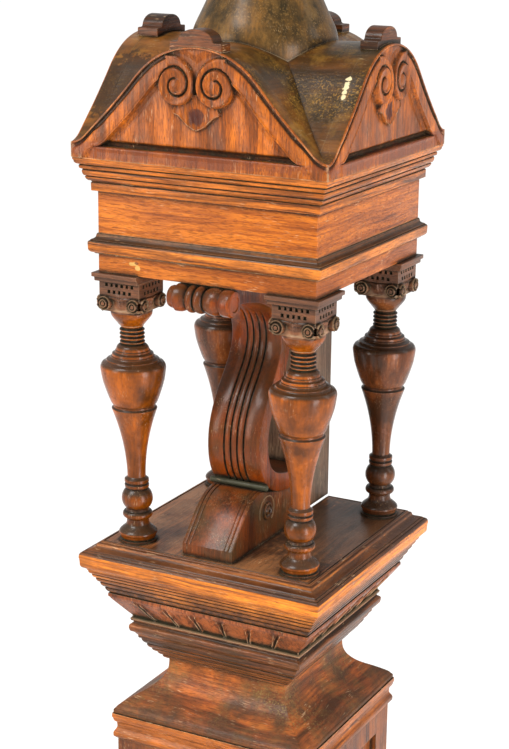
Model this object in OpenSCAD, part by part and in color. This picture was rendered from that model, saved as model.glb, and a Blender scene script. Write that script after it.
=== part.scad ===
// Carved oak newel post with a scroll bracket under a gabled canopy.
// Units are millimetres, +Z up. The origin is the centre of the plinth where it stands on the
// floor; the scroll bracket faces -Y.

/* [Stack heights] */
// Height of the plinth
plinth_h = 140; // [80:5:220]
// Height of the base moulding
base_mould_h = 36; // [25:1:60]
// Height of the panelled shaft
shaft_h = 515; // [350:5:900]
// Height of the moulding at the head of the shaft
cap_h = 33; // [24:1:50]
// Height of the flared skirt
skirt_h = 62; // [45:1:90]
// Height of the bed moulding under the leaf band
bed_h = 54; // [40:1:80]
// Height of the leaf band
leaf_h = 34; // [24:1:50]
// Height of the platform slab with its reeded edge
platform_h = 64; // [55:1:90]
// Clear height of the open gallery
gallery_h = 308; // [280:1:380]
// Height of the canopy box below its cornice
box_h = 88; // [70:1:120]
// Height of the canopy cornice
cornice_h = 37; // [28:1:50]

/* [Widths] */
// Width of the plinth
plinth_w = 282; // [260:1:340]
// Width of the shaft
shaft_w = 237; // [200:1:260]
// Width over the moulding at the shaft's head
cap_w = 248; // [244:1:280]
// Width of the neck above the skirt
neck_w = 151; // [130:1:180]
// Width over the leaf band
leaf_w = 252; // [230:1:280]
// Width over the platform's lip
platform_w = 299; // [290:1:330]
// Width of the platform's flat deck
deck_w = 258; // [250:1:270]
// Width of the canopy box
box_w = 260; // [256:1:280]
// Width over the cornice and the gable boards
canopy_w = 300; // [290:1:330]

/* [Canopy] */
// Height of a gable's crown above its foot
crown_z = 122; // [100:1:150]
// Radius of the gable's crown
crown_r = 96; // [80:1:110]
// Pitch of the gable's straight flank in degrees
pitch = 48.6; // [42:0.2:54]
// Radius of the sweep at the eaves
eave_r = 33; // [20:1:45]
// Thickness of a gable board
board_t = 18; // [14:1:24]
// Depth of the sunk panel in a gable board
sink_t = 6; // [3:0.5:10]
// Radius of a gable scroll
volute_r = 20.5; // [15:0.5:24]
// How far the gable scrolls stand out from the board
volute_out = 3; // [1:0.5:6]
// Thickness of the vaulted roof skin
roof_t = 14; // [10:1:20]
// Wall of the canopy box
box_wall = 20; // [12:1:30]
// Thickness of the board that closes the canopy box underneath
soffit_t = 14; // [8:1:20]
// Width of a crest block
crest_w = 60; // [50:1:80]
// Depth of a crest block, front to back
crest_d = 20; // [16:1:30]
// How much deeper the left crest block is than the others
crest_left_more = 6; // [0:1:8]
// How far each crest block stands back from its gable's face
crest_set = [0, 5, 0, 9];
// Radius of the crest's half round
crest_r = 20; // [15:1:28]

/* [Finial] */
// Radius of the bell where it meets the roof
bell_r = 79; // [70:1:86]
// Height of the bell above the gable foot
bell_z = 206; // [180:1:240]
// Radius of the bell's neck
bell_neck_r = 40; // [30:1:50]
// Radius of the knob
knob_r = 37; // [28:1:44]

/* [Balusters] */
// Distance of a baluster's axis from the middle, both ways
bal_c = 104.5; // [100:0.5:106]
// Width of a capital block
cap_block_w = 50; // [44:1:54]
// Overhang of the abacus
abacus_out = 6.5; // [3:0.5:8]
// Largest radius of the vase
vase_r = 36; // [28:0.5:38]
// Thickness of the pad under each baluster
pad_t = 3; // [2:0.5:6]
// Radius of that pad
pad_r = 21.5; // [18:0.5:25]
// How far the front left baluster's foot leans inward
front_left_lean = 7; // [0:0.5:10]

/* [Scroll bracket] */
// Width of the scroll at its foot
scroll_w = 67; // [56:1:76]
// Width of the scroll at its head
scroll_top_w = 61; // [50:1:76]
// Thickness of the scroll
scroll_t = 21; // [16:0.5:24]
// Width of a groove on the scroll's face
groove_w = 1.8; // [1:0.1:3]
// Depth of a groove
groove_d = 1.6; // [1:0.1:3]
// Spacing of the grooves
groove_gap = 8.3; // [6:0.1:10]
// Radius of the turned roll
roll_r = 15; // [12:0.5:17]
// Length of the turned roll
roll_l = 76; // [60:1:90]
// Width of the wedge foot
foot_w = 62; // [50:1:70]
// Height of the foot's square toe
toe_h = 14; // [8:1:24]
// Radius of the round bead in the crease over the foot
bead_r = 3.5; // [2:0.1:4]
// Width of the centre post
post_w = 46; // [40:1:56]
// Depth of the centre post
post_d = 91; // [70:1:100]
// How far the post's back face stands behind the middle
post_back = 136; // [130:1:144]
// Gap between the post and each side of the notch
notch_gap = 3.5; // [1:0.5:6]
// Depth of the notch in the deck
notch_h = 30; // [20:1:40]

/* [Shaft] */
// Wall of the hollow shaft
shaft_wall = 24; // [18:1:30]
// Width of a stile
stile_w = 33; // [25:1:45]
// Height of the top and bottom rails
rail_h = 26; // [20:1:60]
// How far a panel is set back
panel_back = 7; // [4:0.5:12]
// Thickness of a panel
panel_t = 10; // [6:0.5:14]

/* [Hidden] */
$fn = 48;
e = 0.01;
SIDES = ["front", "right", "back", "left"];

// Levels, from the floor up.
z_base = plinth_h;
z_shaft = z_base + base_mould_h;
z_cap = z_shaft + shaft_h;
z_skirt = z_cap + cap_h;
z_bed = z_skirt + skirt_h;
z_leaf = z_bed + bed_h;
z_platform = z_leaf + leaf_h;
z_deck = z_platform + platform_h;
z_box = z_deck + gallery_h;
z_cornice = z_box + box_h;
z_gable = z_cornice + cornice_h;

// Clear half widths inside the hollow pieces.
plinth_in = plinth_w / 2 - 24;
neck_in = neck_w / 2 - 18;
shaft_in = shaft_w / 2 - shaft_wall;

// Curves between two points of a profile: quarter ellipses that leave level or upright, and a
// double curve that is upright at both ends.
function level(p, q, n = 4) = [for (i = [1:n]) let(t = 90 * i / n)
    [p[0] + (q[0] - p[0]) * sin(t), p[1] + (q[1] - p[1]) * (1 - cos(t))]];
function upright(p, q, n = 4) = [for (i = [1:n]) let(t = 90 * i / n)
    [p[0] + (q[0] - p[0]) * (1 - cos(t)), p[1] + (q[1] - p[1]) * sin(t)]];
function double(p, q, n = 6) = [for (i = [1:n]) let(t = i / n)
    [p[0] + (q[0] - p[0]) * (1 - cos(180 * t)) / 2, p[1] + (q[1] - p[1]) * t]];
// A cubic curve's points, and a strip of even width along a path.
function bez(a, b, c, d, n) = [for (i = [0:n]) let(t = i / n, s = 1 - t)
    s * s * s * a + 3 * s * s * t * b + 3 * s * t * t * c + t * t * t * d];
function unit(v) = v / norm(v);
function side(p, i) = let(d = unit(p[min(i + 1, len(p) - 1)] - p[max(i - 1, 0)])) [-d[1], d[0]];
function shifted(p, k) = [for (i = [0:len(p) - 1]) p[i] + side(p, i) * k];
function back(p) = [for (i = [len(p) - 1:-1:0]) p[i]];
function flip(p) = [for (q = back(p)) [-q[0], q[1]]];

// A square piece whose half width follows a profile, mitred at the corners.
module mitred(prof) {
    w = 2 * max([for (p = prof) p[0]]) + 2;
    outline = concat(prof, flip(prof));
    intersection() {
        rotate([90, 0, 0]) linear_extrude(w, center = true) polygon(outline);
        rotate([90, 0, 90]) linear_extrude(w, center = true) polygon(outline);
    }
}
module square_hole(half, z0, z1)
    translate([-half, -half, z0]) cube([2 * half, 2 * half, z1 - z0]);
module face(i) rotate([0, 0, 90 * i]) children();
// An outline drawn in X and Z, given a thickness from y0 to y1.
module upright_plate(pts, y0, y1)
    translate([0, y1, 0]) rotate([90, 0, 0]) linear_extrude(y1 - y0) polygon(pts);
// An outline drawn in Y and Z, given a width in X.
module side_plate(pts, w)
    rotate([90, 0, 90]) linear_extrude(w, center = true) polygon(pts);

// ---- lower part ----
module plinth() {
    h = plinth_w / 2;
    color("#9c5a2c") difference() {
        mitred(concat([[h, 0], [h, plinth_h - 6]], level([h, plinth_h - 6], [h - 5, plinth_h], 3)));
        square_hole(plinth_in, -1, plinth_h + 1);
    }
}

module base_moulding() {
    a = plinth_w / 2 - 4;
    b = shaft_w / 2 + 3;
    z = z_base;
    color("#a05f2f") difference() {
        mitred(concat([[a - 3, z], [a, z + 4], [a, z + 8]],
            upright([a, z + 8], [a - 4, z + 12], 3), [[a - 6, z + 12]],
            double([a - 6, z + 13], [b, z + base_mould_h - 4]), [[b, z + base_mould_h]]));
        square_hole(shaft_in, z - 1, z_shaft + 1);
    }
}

module window(grow) {
    w = shaft_w - 2 * stile_w;
    translate([-w / 2, -shaft_w / 2 - grow, z_shaft + rail_h * 1.6])
        cube([w, panel_back + panel_t + grow, shaft_h - rail_h * 2.6]);
}

module shaft_frame() {
    h = shaft_w / 2;
    color("#a35f30") difference() {
        translate([-h, -h, z_shaft]) cube([2 * h, 2 * h, shaft_h]);
        square_hole(shaft_in, z_shaft - 1, z_cap + 1);
        for (i = [0:3]) face(i) window(1);
    }
}

module shaft_panel(i) {
    w = shaft_w - 2 * stile_w;
    color("#ad6a38") face(i) translate([-w / 2, -shaft_w / 2 + panel_back, z_shaft + rail_h * 1.6])
        cube([w, panel_t, shaft_h - rail_h * 2.6]);
}

module shaft_cap_moulding() {
    a = cap_w / 2;
    b = shaft_w / 2;
    z = z_cap;
    color("#8a4c24") difference() {
        mitred(concat([[b, z], [a - 1.5, z + 4], [a - 1, z + 7]],
            double([a - 1, z + 7], [a - 4.5, z + 16], 4), [[a - 4, z + 22]],
            level([a - 4, z + 22], [a - 1, z + 27], 3), [[a, z + 29], [a, z + cap_h]]));
        square_hole(neck_in, z - 1, z_skirt + 1);
    }
}

module skirt() {
    a = cap_w / 2 - 1;
    b = neck_w / 2;
    z = z_skirt;
    color("#7c4524") difference() {
        mitred(concat([[a - 1, z], [a - 0.5, z + 5]],
            [for (q = [[0, 0], [0.11, 0.09], [0.3, 0.2], [0.5, 0.31], [0.66, 0.42], [0.78, 0.53],
                 [0.87, 0.64], [0.935, 0.76], [0.98, 0.88], [1, 1]])
                [a - 1.5 + (b - a + 1.5) * q[0], z + 6 + (skirt_h - 6) * q[1]]]));
        square_hole(neck_in, z - 1, z_bed + 1);
    }
}

module bed_moulding() {
    b = neck_w / 2;
    c = leaf_w / 2 - 18;
    z = z_bed;
    k = (c - b) / 33;
    color("#7a4a2a") difference() {
        mitred(concat([[b, z], [b + 4, z + 0.5], [b + 5, z + 4]],
            [[b + 9 * k, z + 8], [b + 14 * k, z + 12], [b + 18.5 * k, z + 19],
             [b + 23 * k, z + 25], [b + 24 * k, z + 28.5], [b + 26 * k, z + 29],
             [b + 26.5 * k, z + 33], [b + 30 * k, z + 37]],
            level([b + 30 * k, z + 40], [c + 1, z + 43], 3), [[c + 1, z + 46], [c - 3, z + 49],
             [c, z + bed_h]]));
        square_hole(neck_in, z - 1, z_leaf + 1);
    }
}

module leaf_band() {
    a = leaf_w / 2;
    c = leaf_w / 2 - 18;
    z = z_leaf;
    color("#8a5028") difference() {
        mitred(concat([[c, z], [c, z + 2]],
            double([c - 1, z + 3], [a - 1, z + leaf_h - 5], 6), [[a, z + leaf_h - 3], [a, z + leaf_h]]));
        square_hole(neck_in, z - 1, z_platform + 1);
    }
}

// The platform's edge: five reeded steps, a rounded nose and a sloping band up to the deck.
module platform() {
    a = platform_w / 2;
    d = deck_w / 2;
    z = z_platform;
    s0 = leaf_w / 2 - 2.5;
    n = 5;
    run = (a - 8 - s0) / n;
    rise = (platform_h - 31) / n;
    notch_w = post_w + 2 * notch_gap;
    color("#8f5329") difference() {
        mitred(concat([[s0, z]],
            [for (i = [0:n - 1]) each [[s0 + run * (i + 0.12), z + rise * (i + 0.55)],
                [s0 + run * (i + 0.85), z + rise * (i + 0.62)],
                [s0 + run * (i + 1), z + rise * (i + 1)]]],
            level([a - 6, z + platform_h - 30], [a, z + platform_h - 18], 4),
            [[a - 0.3, z + platform_h - 14]],
            [[a - 2, z + platform_h - 12], [d, z + platform_h]]));
        square_hole(58, z - 1, z_deck - notch_h - 4);
        translate([-notch_w / 2, 70, z_deck - notch_h]) cube([notch_w, a, notch_h + 1]);
    }
}

// ---- gallery ----
// A baluster's turned part, from its foot up, for a clear height g; its heights hang from the
// capital and its ball and foot stand from the deck.
module turned(g) {
    v = vase_r;
    t = g - 56;
    rotate_extrude() polygon(concat(
        [[0, pad_t], [19.6, pad_t]],
        upright([19.6, pad_t], [21.7, 9], 3), double([21.7, 9], [12.7, 21], 4), [[12.7, 26]],
        level([12.7, 27], [16.9, 30.5], 3), upright([16.9, 30.5], [13.5, 35], 3),
        [for (i = [0:8]) let(q = -58 + 116 * i / 8) [5.4 + 12 * cos(q), 49 + 14 * sin(q)]],
        [[13.4, 62.5], [13.4, 66.5], [12.2, 67.5], [13.4, 68.5], [13.2, 73], [10.4, 74.5]],
        [for (i = [1:6]) let(q = i / 6) [10.2 + 13.2 * q * q + 1.2 * q, 76 + (t - 176) * q]],
        [[24.9, t - 99], [23.3, t - 96], [v - 12.2, t - 93], [v - 10, t - 90], [v - 5.6, t - 78],
         [v - 2.1, t - 67], [v - 0.5, t - 57], [v, t - 51], [v - 0.6, t - 48], [v - 2.2, t - 46],
         [v - 7, t - 42], [v - 12.2, t - 39], [v - 13.3, t - 35.5], [v - 16.5, t - 35],
         [v - 17.5, t - 32]],
        upright([v - 17.5, t - 32], [12.2, t - 25.5], 3),
        [for (i = [0:3]) each [[13.3, t - 23.8 + 4.4 * i], [13.3, t - 22 + 4.4 * i],
            [11, t - 21.4 + 4.4 * i], [11, t - 20 + 4.4 * i]]],
        [[12.6, t - 5], [12.6, t + 2]],
        upright([12.6, t + 2], [22.5, t + 10], 4), [[22.5, t + 16], [0, t + 16]]));
}

// The capital: a pierced block with a small scroll at each lower corner of each face, under an
// abacus of two steps. A capital may lack the abacus strip on its +X side.
module capital(strip) {
    w = cap_block_w / 2;
    o = abacus_out;
    translate([0, 0, -36]) for (i = [0:3]) face(i) {
        for (s = [-1, 1]) translate([s * (w - 6), -w - 2.5, 5]) rotate([-90, 0, 0])
            cylinder(r = 7.4, h = 9, $fn = 24);
        translate([-4, -w - 1.5, 5]) cube([8, 6, 8]);
    }
    translate([-w + 2, -w + 2, -40]) cube([2 * w - 4, 2 * w - 4, 12]);
    difference() {
        translate([-w, -w, -31]) cube([2 * w, 2 * w, 31]);
        for (i = [0:3]) face(i) {
            for (k = [0:5]) translate([(k - 2.5) * 6.2 - 1.3, -w - 1, -15.6]) cube([2.6, 4, 3]);
            for (k = [0:4]) translate([(k - 2) * 6.2 - 1.3, -w - 1, -22]) cube([2.6, 4, 3]);
        }
    }
    difference() {
        union() {
            translate([-w - o + 2.5, -w - o + 2.5, -9])
                cube([2 * (w + o - 2.5), 2 * (w + o - 2.5), 4.5]);
            translate([-w - o, -w - o, -4.5]) cube([2 * (w + o), 2 * (w + o), 4.5]);
        }
        if (!strip) translate([w, -w - o - 1, -10]) cube([o + 1, 2 * (w + o) + 2, 11]);
    }
}

module baluster(sx, sy, lean = 0, strip = true) {
    color("#8c4a1e") translate([sx * bal_c, sy * bal_c, z_deck]) {
        translate([-sx * lean, 0, 0]) cylinder(r = pad_r, h = pad_t);
        intersection() {
            translate([-sx * lean, 0, 0]) rotate([0, sx * atan(lean / (gallery_h - 40)), 0])
                turned(gallery_h);
            translate([-60, -60, pad_t - 1]) cube([120, 120, gallery_h - 31 - pad_t]);
        }
        translate([0, 0, gallery_h]) capital(strip);
    }
}

// The scroll's middle line in Y and Z, from the back of the roll round to the post.
post_y = post_back - post_d;
roll_y = -box_w / 2 - 2;
roll_z = z_box - roll_r - 0.2;
function scroll_path(n) = let(b = z_deck + 56, g = z_box) concat(
    bez([roll_y + 6, g - scroll_t / 2 - 0.2], [roll_y + 62, g - scroll_t / 2 - 0.2],
        [-4, g - 26], [0, g - 78], n),
    [for (p = bez([0, g - 78], [4, g - 122], [-52, g - 142], [-52, b + 58], n)) if (p[1] < g - 78.5) p],
    [for (p = bez([-52, b + 58], [-52, b + 12], [-20, b], [post_y, b], n)) if (p[1] < b + 57.5) p]);

module scroll_body() {
    p = scroll_path(8);
    h = scroll_t / 2;
    side_plate(concat(shifted(p, h), back(shifted(p, -h))), scroll_w + 8);
}

module scroll_grooves() {
    p = [for (q = scroll_path(8)) if (q[1] < z_box - 40) q];
    h = scroll_t / 2;
    for (i = [-1.5:1:1.5]) translate([i * groove_gap, 0, 0])
        side_plate(concat(shifted(p, -h + groove_d), back(shifted(p, -h - 2))), groove_w);
}

module scroll_console() {
    lo = scroll_w / 2;
    hi = scroll_top_w / 2;
    color("#7b3f1e") {
        difference() {
            intersection() {
                scroll_body();
                upright_plate([[-lo, z_deck], [lo, z_deck], [lo, z_deck + 60], [hi, z_box],
                    [-hi, z_box], [-lo, z_deck + 60]], -canopy_w / 2, post_y);
            }
            scroll_grooves();
        }
        translate([-roll_l / 2, roll_y, roll_z]) rotate([0, 90, 0]) rotate_extrude() polygon(concat(
            [[0, 0], [roll_r - 3, 0]], upright([roll_r - 3, 0], [roll_r, 10], 3), [[roll_r - 1, 17],
             [roll_r - 4, 21]], level([roll_r - 4, 22.5], [roll_r - 0.5, 27], 3),
            upright([roll_r - 0.5, 27], [roll_r - 3.5, 31], 3),
            level([roll_r - 3.5, 32], [roll_r - 0.5, 37], 3),
            upright([roll_r - 0.5, 37], [roll_r - 3.5, 42.5], 3),
            [[roll_r - 1, 46], [roll_r, 54], [roll_r - 2, 61.5], [roll_r - 1, 63],
             [roll_r - 0.5, roll_l - 2], [roll_r - 2, roll_l], [0, roll_l]]));
    }
}

// The wedge foot rises from its square toe to the crease under the scroll.
module scroll_foot() {
    z = z_deck;
    fy = -deck_w / 2 + 8;
    color("#8a4520") {
        difference() {
            side_plate(concat([[fy, z], [fy, z + toe_h], [fy + 14, z + 28]],
                bez([fy + 27, z + 42], [fy + 40, z + 55], [fy + 51, z + 62], [fy + 70, z + 62], 5),
                [[fy + 81, z + 57], [-10, z + 46], [post_y, z + 45.5], [post_y, z]]), foot_w);
            scroll_body();
        }
        for (s = [-1, 1]) translate([s > 0 ? foot_w / 2 - 1 : -foot_w / 2 + 1, -40, z + 36])
            rotate([0, s * 90, 0]) difference() {
                cylinder(r = 9.5, h = 4.5);
                translate([0, 0, 2.5]) cylinder(r = 1.8, h = 3);
            }
    }
}

module scroll_rod()
    color("#57543f") translate([-scroll_w / 2 - 2.5, -48.7, z_deck + 61.9 + bead_r]) rotate([0, 90, 0])
        cylinder(r = bead_r, h = scroll_w + 5);

module centre_post()
    color("#9a6a4e") translate([-post_w / 2, post_y, z_deck]) cube([post_w, post_d, gallery_h]);

// ---- canopy ----
module canopy_box() {
    h = box_w / 2;
    color("#b0642a") difference() {
        translate([-h, -h, z_box]) cube([2 * h, 2 * h, box_h]);
        square_hole(h - box_wall, z_box + soffit_t, z_cornice + 1);
    }
}

module belt_moulding() {
    h = box_w / 2;
    z = z_box + 20;
    color("#94562a") difference() {
        mitred(concat([[h + e, z], [h + 0.5, z], [h + 4, z + 1]],
            level([h + 4, z + 1], [h + 8.5, z + 6], 3), [[h + 8.5, z + 13.5], [h + 7.7, z + 15],
             [h + 4, z + 17.5], [h + 1.5, z + 20], [h + 0.5, z + 22.5], [h + e, z + 22.5]]));
        square_hole(h, z - 1, z + 24);
    }
}

module cornice() {
    a = canopy_w / 2;
    b = box_w / 2;
    z = z_cornice;
    color("#a0602f") difference() {
        mitred(concat([[b, z], [b + 5.4, z + 0.5], [b + 5.6, z + cornice_h - 27.2]],
            double([a - 11.8, z + cornice_h - 25.5], [a - 7.8, z + cornice_h - 14.5], 4),
            [[a - 6, z + cornice_h - 13.8], [a - 5.7, z + cornice_h - 9]],
            level([a - 5.4, z + cornice_h - 8.6], [a - 1.4, z + cornice_h - 3.6], 3),
            [[a - 0.7, z + cornice_h - 3.2], [a - 0.7, z + cornice_h]]));
        square_hole(b - box_wall, z - 1, z_gable + 1);
    }
}

// Half of an ogee gable: a round crown of radius cr at height cz, a straight flank and a sweep of
// radius er that ends at half width xe.
function ogee(cz, cr, er, xe, n = 6) = let(a = pitch, b = 12,
    run = (xe - cr * sin(a) - er * (sin(a) - sin(b))) / cos(a),
    fx = cr * sin(a) + run * cos(a) + er * sin(a),
    fz = cz - cr + cr * cos(a) - run * sin(a) + er * cos(a)) concat(
    [for (i = [0:n]) let(q = a * i / n) [cr * sin(q), cz - cr + cr * cos(q)]],
    [for (i = [0:3]) let(q = a + (b - a) * i / 3) [fx - er * sin(q), fz - er * cos(q)]]);
function whole(p) = concat([for (i = [len(p) - 1:-1:1]) [-p[i][0], p[i][1]]], p);
gable_half = ogee(crown_z, crown_r, eave_r, canopy_w / 2);

module pediment(i) {
    a = canopy_w / 2;
    z = z_gable;
    outline = whole(gable_half);
    sunk = whole(ogee(crown_z - 22, crown_r - 22, 28, a - 29));
    color("#a8602c") face(i) translate([0, 0, z]) {
        difference() {
            intersection() {
                upright_plate(concat([[-a, 0]], outline, [[a, 0]]), -a, -a + board_t);
                linear_extrude(crown_z + 1) polygon([[-a - 1, -a - 1], [a + 1, -a - 1],
                    [a - board_t, -a + board_t], [board_t - a, -a + board_t]]);
            }
            intersection() {
                upright_plate(concat([[29 - a, -9]], sunk, [[a - 29, -9]]), -a - 1, -a + sink_t);
                translate([-a, -a - 1, 14]) cube([2 * a, sink_t + 1, crown_z]);
            }
        }
        for (s = [-1, 1]) translate([s * (volute_r + 3), -a - volute_out, 82.5])
            rotate([-90, 0, 0]) difference() {
                cylinder(r = volute_r, h = volute_out + sink_t + 1);
                translate([0, 0, -1]) difference() {
                    cylinder(r = volute_r - 5, h = 3);
                    cylinder(r = volute_r - 9, h = 3);
                }
            }
        upright_plate([[-27, 60], [-27, 53], [-14, 41], [0, 37], [14, 41], [27, 53], [27, 60],
            [12, 70], [-12, 70]], -a + 1, -a + sink_t + 1);
    }
}

// A stepped block with a half round, bedded on the crown of a gable.
module crest(i) {
    w = crest_w / 2;
    bed = [for (p = whole(gable_half)) if (abs(p[0]) < w) p];
    zw = crown_z - crown_r + sqrt(crown_r * crown_r - w * w);
    s = crown_z + 4.5;
    f = -canopy_w / 2 + crest_set[i];
    color("#8c5428") face(i) translate([0, 0, z_gable])
        upright_plate(concat([[-w, zw]], bed, [[w, zw], [w, s], [crest_r, s]],
            [for (k = [0:8]) let(q = 180 * k / 8) [crest_r * cos(q), s + 1 + 12.5 * sin(q)]],
            [[-crest_r, s], [-w, s]]), f, f + crest_d + (i == 3 ? crest_left_more : 0));
}

module vault(p, w) {
    outline = concat([[-w, -1]], whole(p), [[w, -1]]);
    for (i = [0:1]) face(i) upright_plate(outline, -w, w);
}

module roof_skin() {
    a = canopy_w / 2 - board_t;
    intersection() {
        vault(gable_half, canopy_w / 2);
        translate([-a, -a, 0]) cube([2 * a, 2 * a, crown_z + 1]);
    }
}

module roof() {
    in = box_w / 2 - box_wall;
    color("#4e3f24") translate([0, 0, z_gable]) difference() {
        roof_skin();
        intersection() {
            vault(ogee(crown_z - roof_t, crown_r - roof_t, eave_r, in + 30), in + 30);
            translate([-in, -in, -2]) cube([2 * in, 2 * in, crown_z]);
        }
    }
}

module finial_bell() {
    color("#5a4526") translate([0, 0, z_gable]) difference() {
        rotate_extrude() polygon(concat([[0, 84], [bell_r, 84], [bell_r, 118]],
            [for (i = [1:8]) let(t = i / 8) [bell_r - (bell_r - bell_neck_r) * (1 - pow(1 - t, 1.55)),
                118 + (bell_z - 118) * t]], [[0, bell_z]]));
        roof_skin();
    }
}

module finial_knob() {
    n = bell_neck_r;
    k = knob_r;
    color("#6a4420") translate([0, 0, z_gable + bell_z]) rotate_extrude() polygon(concat(
        [[0, 0], [n, 0]], level([n, 0], [n + 3, 4], 3), upright([n + 3, 4], [n, 8], 3),
        [[n - 6, 8]], double([n - 7, 9], [20, 24], 4), [[20, 27]],
        level([20, 27], [24, 30], 2), upright([24, 30], [20, 33], 2),
        [for (q = [-60:15:80]) [k * cos(q), 33 + k * 0.866 + k * sin(q)]],
        [[6, 34 + k * 1.866], [0, 34 + k * 1.866]]));
}

plinth();
base_moulding();
shaft_frame();
shaft_panel(0);  // shaft_panel_front
shaft_panel(1);  // shaft_panel_right
shaft_panel(2);  // shaft_panel_back
shaft_panel(3);  // shaft_panel_left
shaft_cap_moulding();
skirt();
bed_moulding();
leaf_band();
platform();
baluster(-1, -1, front_left_lean, false);  // baluster_front_left
baluster(1, -1);  // baluster_front_right
baluster(1, 1);  // baluster_back_right
baluster(-1, 1);  // baluster_back_left
scroll_console();
scroll_foot();
scroll_rod();
centre_post();
canopy_box();
belt_moulding();
cornice();
pediment(0);  // pediment_front
pediment(1);  // pediment_right
pediment(2);  // pediment_back
pediment(3);  // pediment_left
crest(0);  // crest_front
crest(1);  // crest_right
crest(2);  // crest_back
crest(3);  // crest_left
roof();
finial_bell();
finial_knob();
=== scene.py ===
"""Oak newel post: the visual pieces, their finishes and a plain studio."""

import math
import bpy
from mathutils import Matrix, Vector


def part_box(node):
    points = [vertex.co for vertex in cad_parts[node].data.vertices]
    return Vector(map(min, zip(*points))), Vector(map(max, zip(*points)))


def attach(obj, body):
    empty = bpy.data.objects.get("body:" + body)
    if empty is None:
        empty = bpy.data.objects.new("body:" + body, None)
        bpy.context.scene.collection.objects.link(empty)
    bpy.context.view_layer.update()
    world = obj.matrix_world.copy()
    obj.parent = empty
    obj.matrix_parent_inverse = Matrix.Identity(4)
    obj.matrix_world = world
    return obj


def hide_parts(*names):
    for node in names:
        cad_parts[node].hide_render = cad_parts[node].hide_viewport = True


bl_info = {
    "name": "Oak Newel Post",
    "version": (1, 0, 0),
    "blender": (4, 5, 0),
    "location": "3D View > Sidebar > Newel",
    "description": "Builds a carved oak newel post with a scroll bracket and a gabled canopy",
    "category": "Add Mesh",
}

from functools import partial

import bmesh
import bpy
import numpy as np
from bpy.props import FloatProperty, IntProperty, PointerProperty, StringProperty
from mathutils import Matrix, Vector

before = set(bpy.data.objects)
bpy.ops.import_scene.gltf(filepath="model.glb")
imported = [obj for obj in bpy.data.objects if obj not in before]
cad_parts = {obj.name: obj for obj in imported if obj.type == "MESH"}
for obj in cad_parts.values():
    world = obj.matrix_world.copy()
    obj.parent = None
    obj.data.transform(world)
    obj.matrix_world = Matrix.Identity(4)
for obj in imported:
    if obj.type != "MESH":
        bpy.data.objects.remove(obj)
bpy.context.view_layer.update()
MM = 0.001
SIDES = ("front", "right", "back", "left")


def low(node):
    """Height of a node's foot, in millimetres."""
    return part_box(node)[0][2] / MM


def high(node):
    """Height of a node's top, in millimetres."""
    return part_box(node)[1][2] / MM


# ---- curves and outlines, in millimetres ----
def level(p, q, n=6):
    """Quarter ellipse from p to q that leaves p level."""
    t = np.linspace(0, math.pi / 2, n + 1)[1:]
    return [(p[0] + (q[0] - p[0]) * math.sin(a), p[1] + (q[1] - p[1]) * (1 - math.cos(a))) for a in t]


def upright(p, q, n=6):
    """Quarter ellipse from p to q that leaves p upright."""
    t = np.linspace(0, math.pi / 2, n + 1)[1:]
    return [(p[0] + (q[0] - p[0]) * (1 - math.cos(a)), p[1] + (q[1] - p[1]) * math.sin(a)) for a in t]


def double(p, q, n=10):
    """Double curve from p to q, upright at both ends."""
    t = np.linspace(0, 1, n + 1)[1:]
    return [(p[0] + (q[0] - p[0]) * (1 - math.cos(math.pi * a)) / 2, p[1] + (q[1] - p[1]) * a) for a in t]


def bezier(a, b, c, d, n):
    """Points along a cubic curve from a to d."""
    a, b, c, d = (np.array(v, float) for v in (a, b, c, d))
    return [(1 - t) ** 3 * a + 3 * (1 - t) ** 2 * t * b + 3 * (1 - t) * t * t * c + t**3 * d
            for t in np.linspace(0, 1, n + 1)]


def soften(points, radius, closed=False):
    """Rounds the corners of an outline, as a scraper and years of handling leave an arris."""
    pts = [np.array(p, float) for p in points]
    n = len(pts)
    out = []
    for i, p in enumerate(pts):
        if not closed and i in (0, n - 1):
            out.append(p)
            continue
        a, b = pts[i - 1], pts[(i + 1) % n]
        u, v = a - p, b - p
        lu, lv = np.linalg.norm(u), np.linalg.norm(v)
        if lu < 1e-6 or lv < 1e-6:
            continue
        if math.degrees(math.acos(np.clip(-np.dot(u, v) / lu / lv, -1, 1))) < 24:
            out.append(p)
            continue
        s, e = p + u / lu * min(radius, lu * 0.42), p + v / lv * min(radius, lv * 0.42)
        out += [s * (1 - t) ** 2 + 2 * p * t * (1 - t) + e * t * t for t in (0, 0.33, 0.67, 1)]
    return [tuple(q) for q in out]


def reeds(points, bulge=1.2, nick=1.0):
    """Joins points of a moulding with bellied reeds that have a sharp nick between them."""
    out = []
    for a, b in zip(points[:-1], points[1:]):
        a, b = np.array(a, float), np.array(b, float)
        d = b - a
        n = np.array([d[1], -d[0]]) / max(np.linalg.norm(d), 1e-6)
        n = n if n[0] > 0 else -n
        for t in np.linspace(0, 1, 9)[:-1]:
            out.append(tuple(a + d * t + n * (bulge * math.sin(math.pi * t) ** 0.7 - (nick if t == 0 else 0))))
    return out + [tuple(points[-1])]


def smoothed(values, n):
    """Running mean over n values, with the ends held."""
    return np.convolve(np.pad(values, n // 2, mode="edge"), np.ones(n) / n, "valid")


def step(x, a, b):
    """Rises smoothly from 0 at a to 1 at b."""
    t = np.clip((x - a) / (b - a), 0, 1)
    return t * t * (3 - 2 * t)


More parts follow.
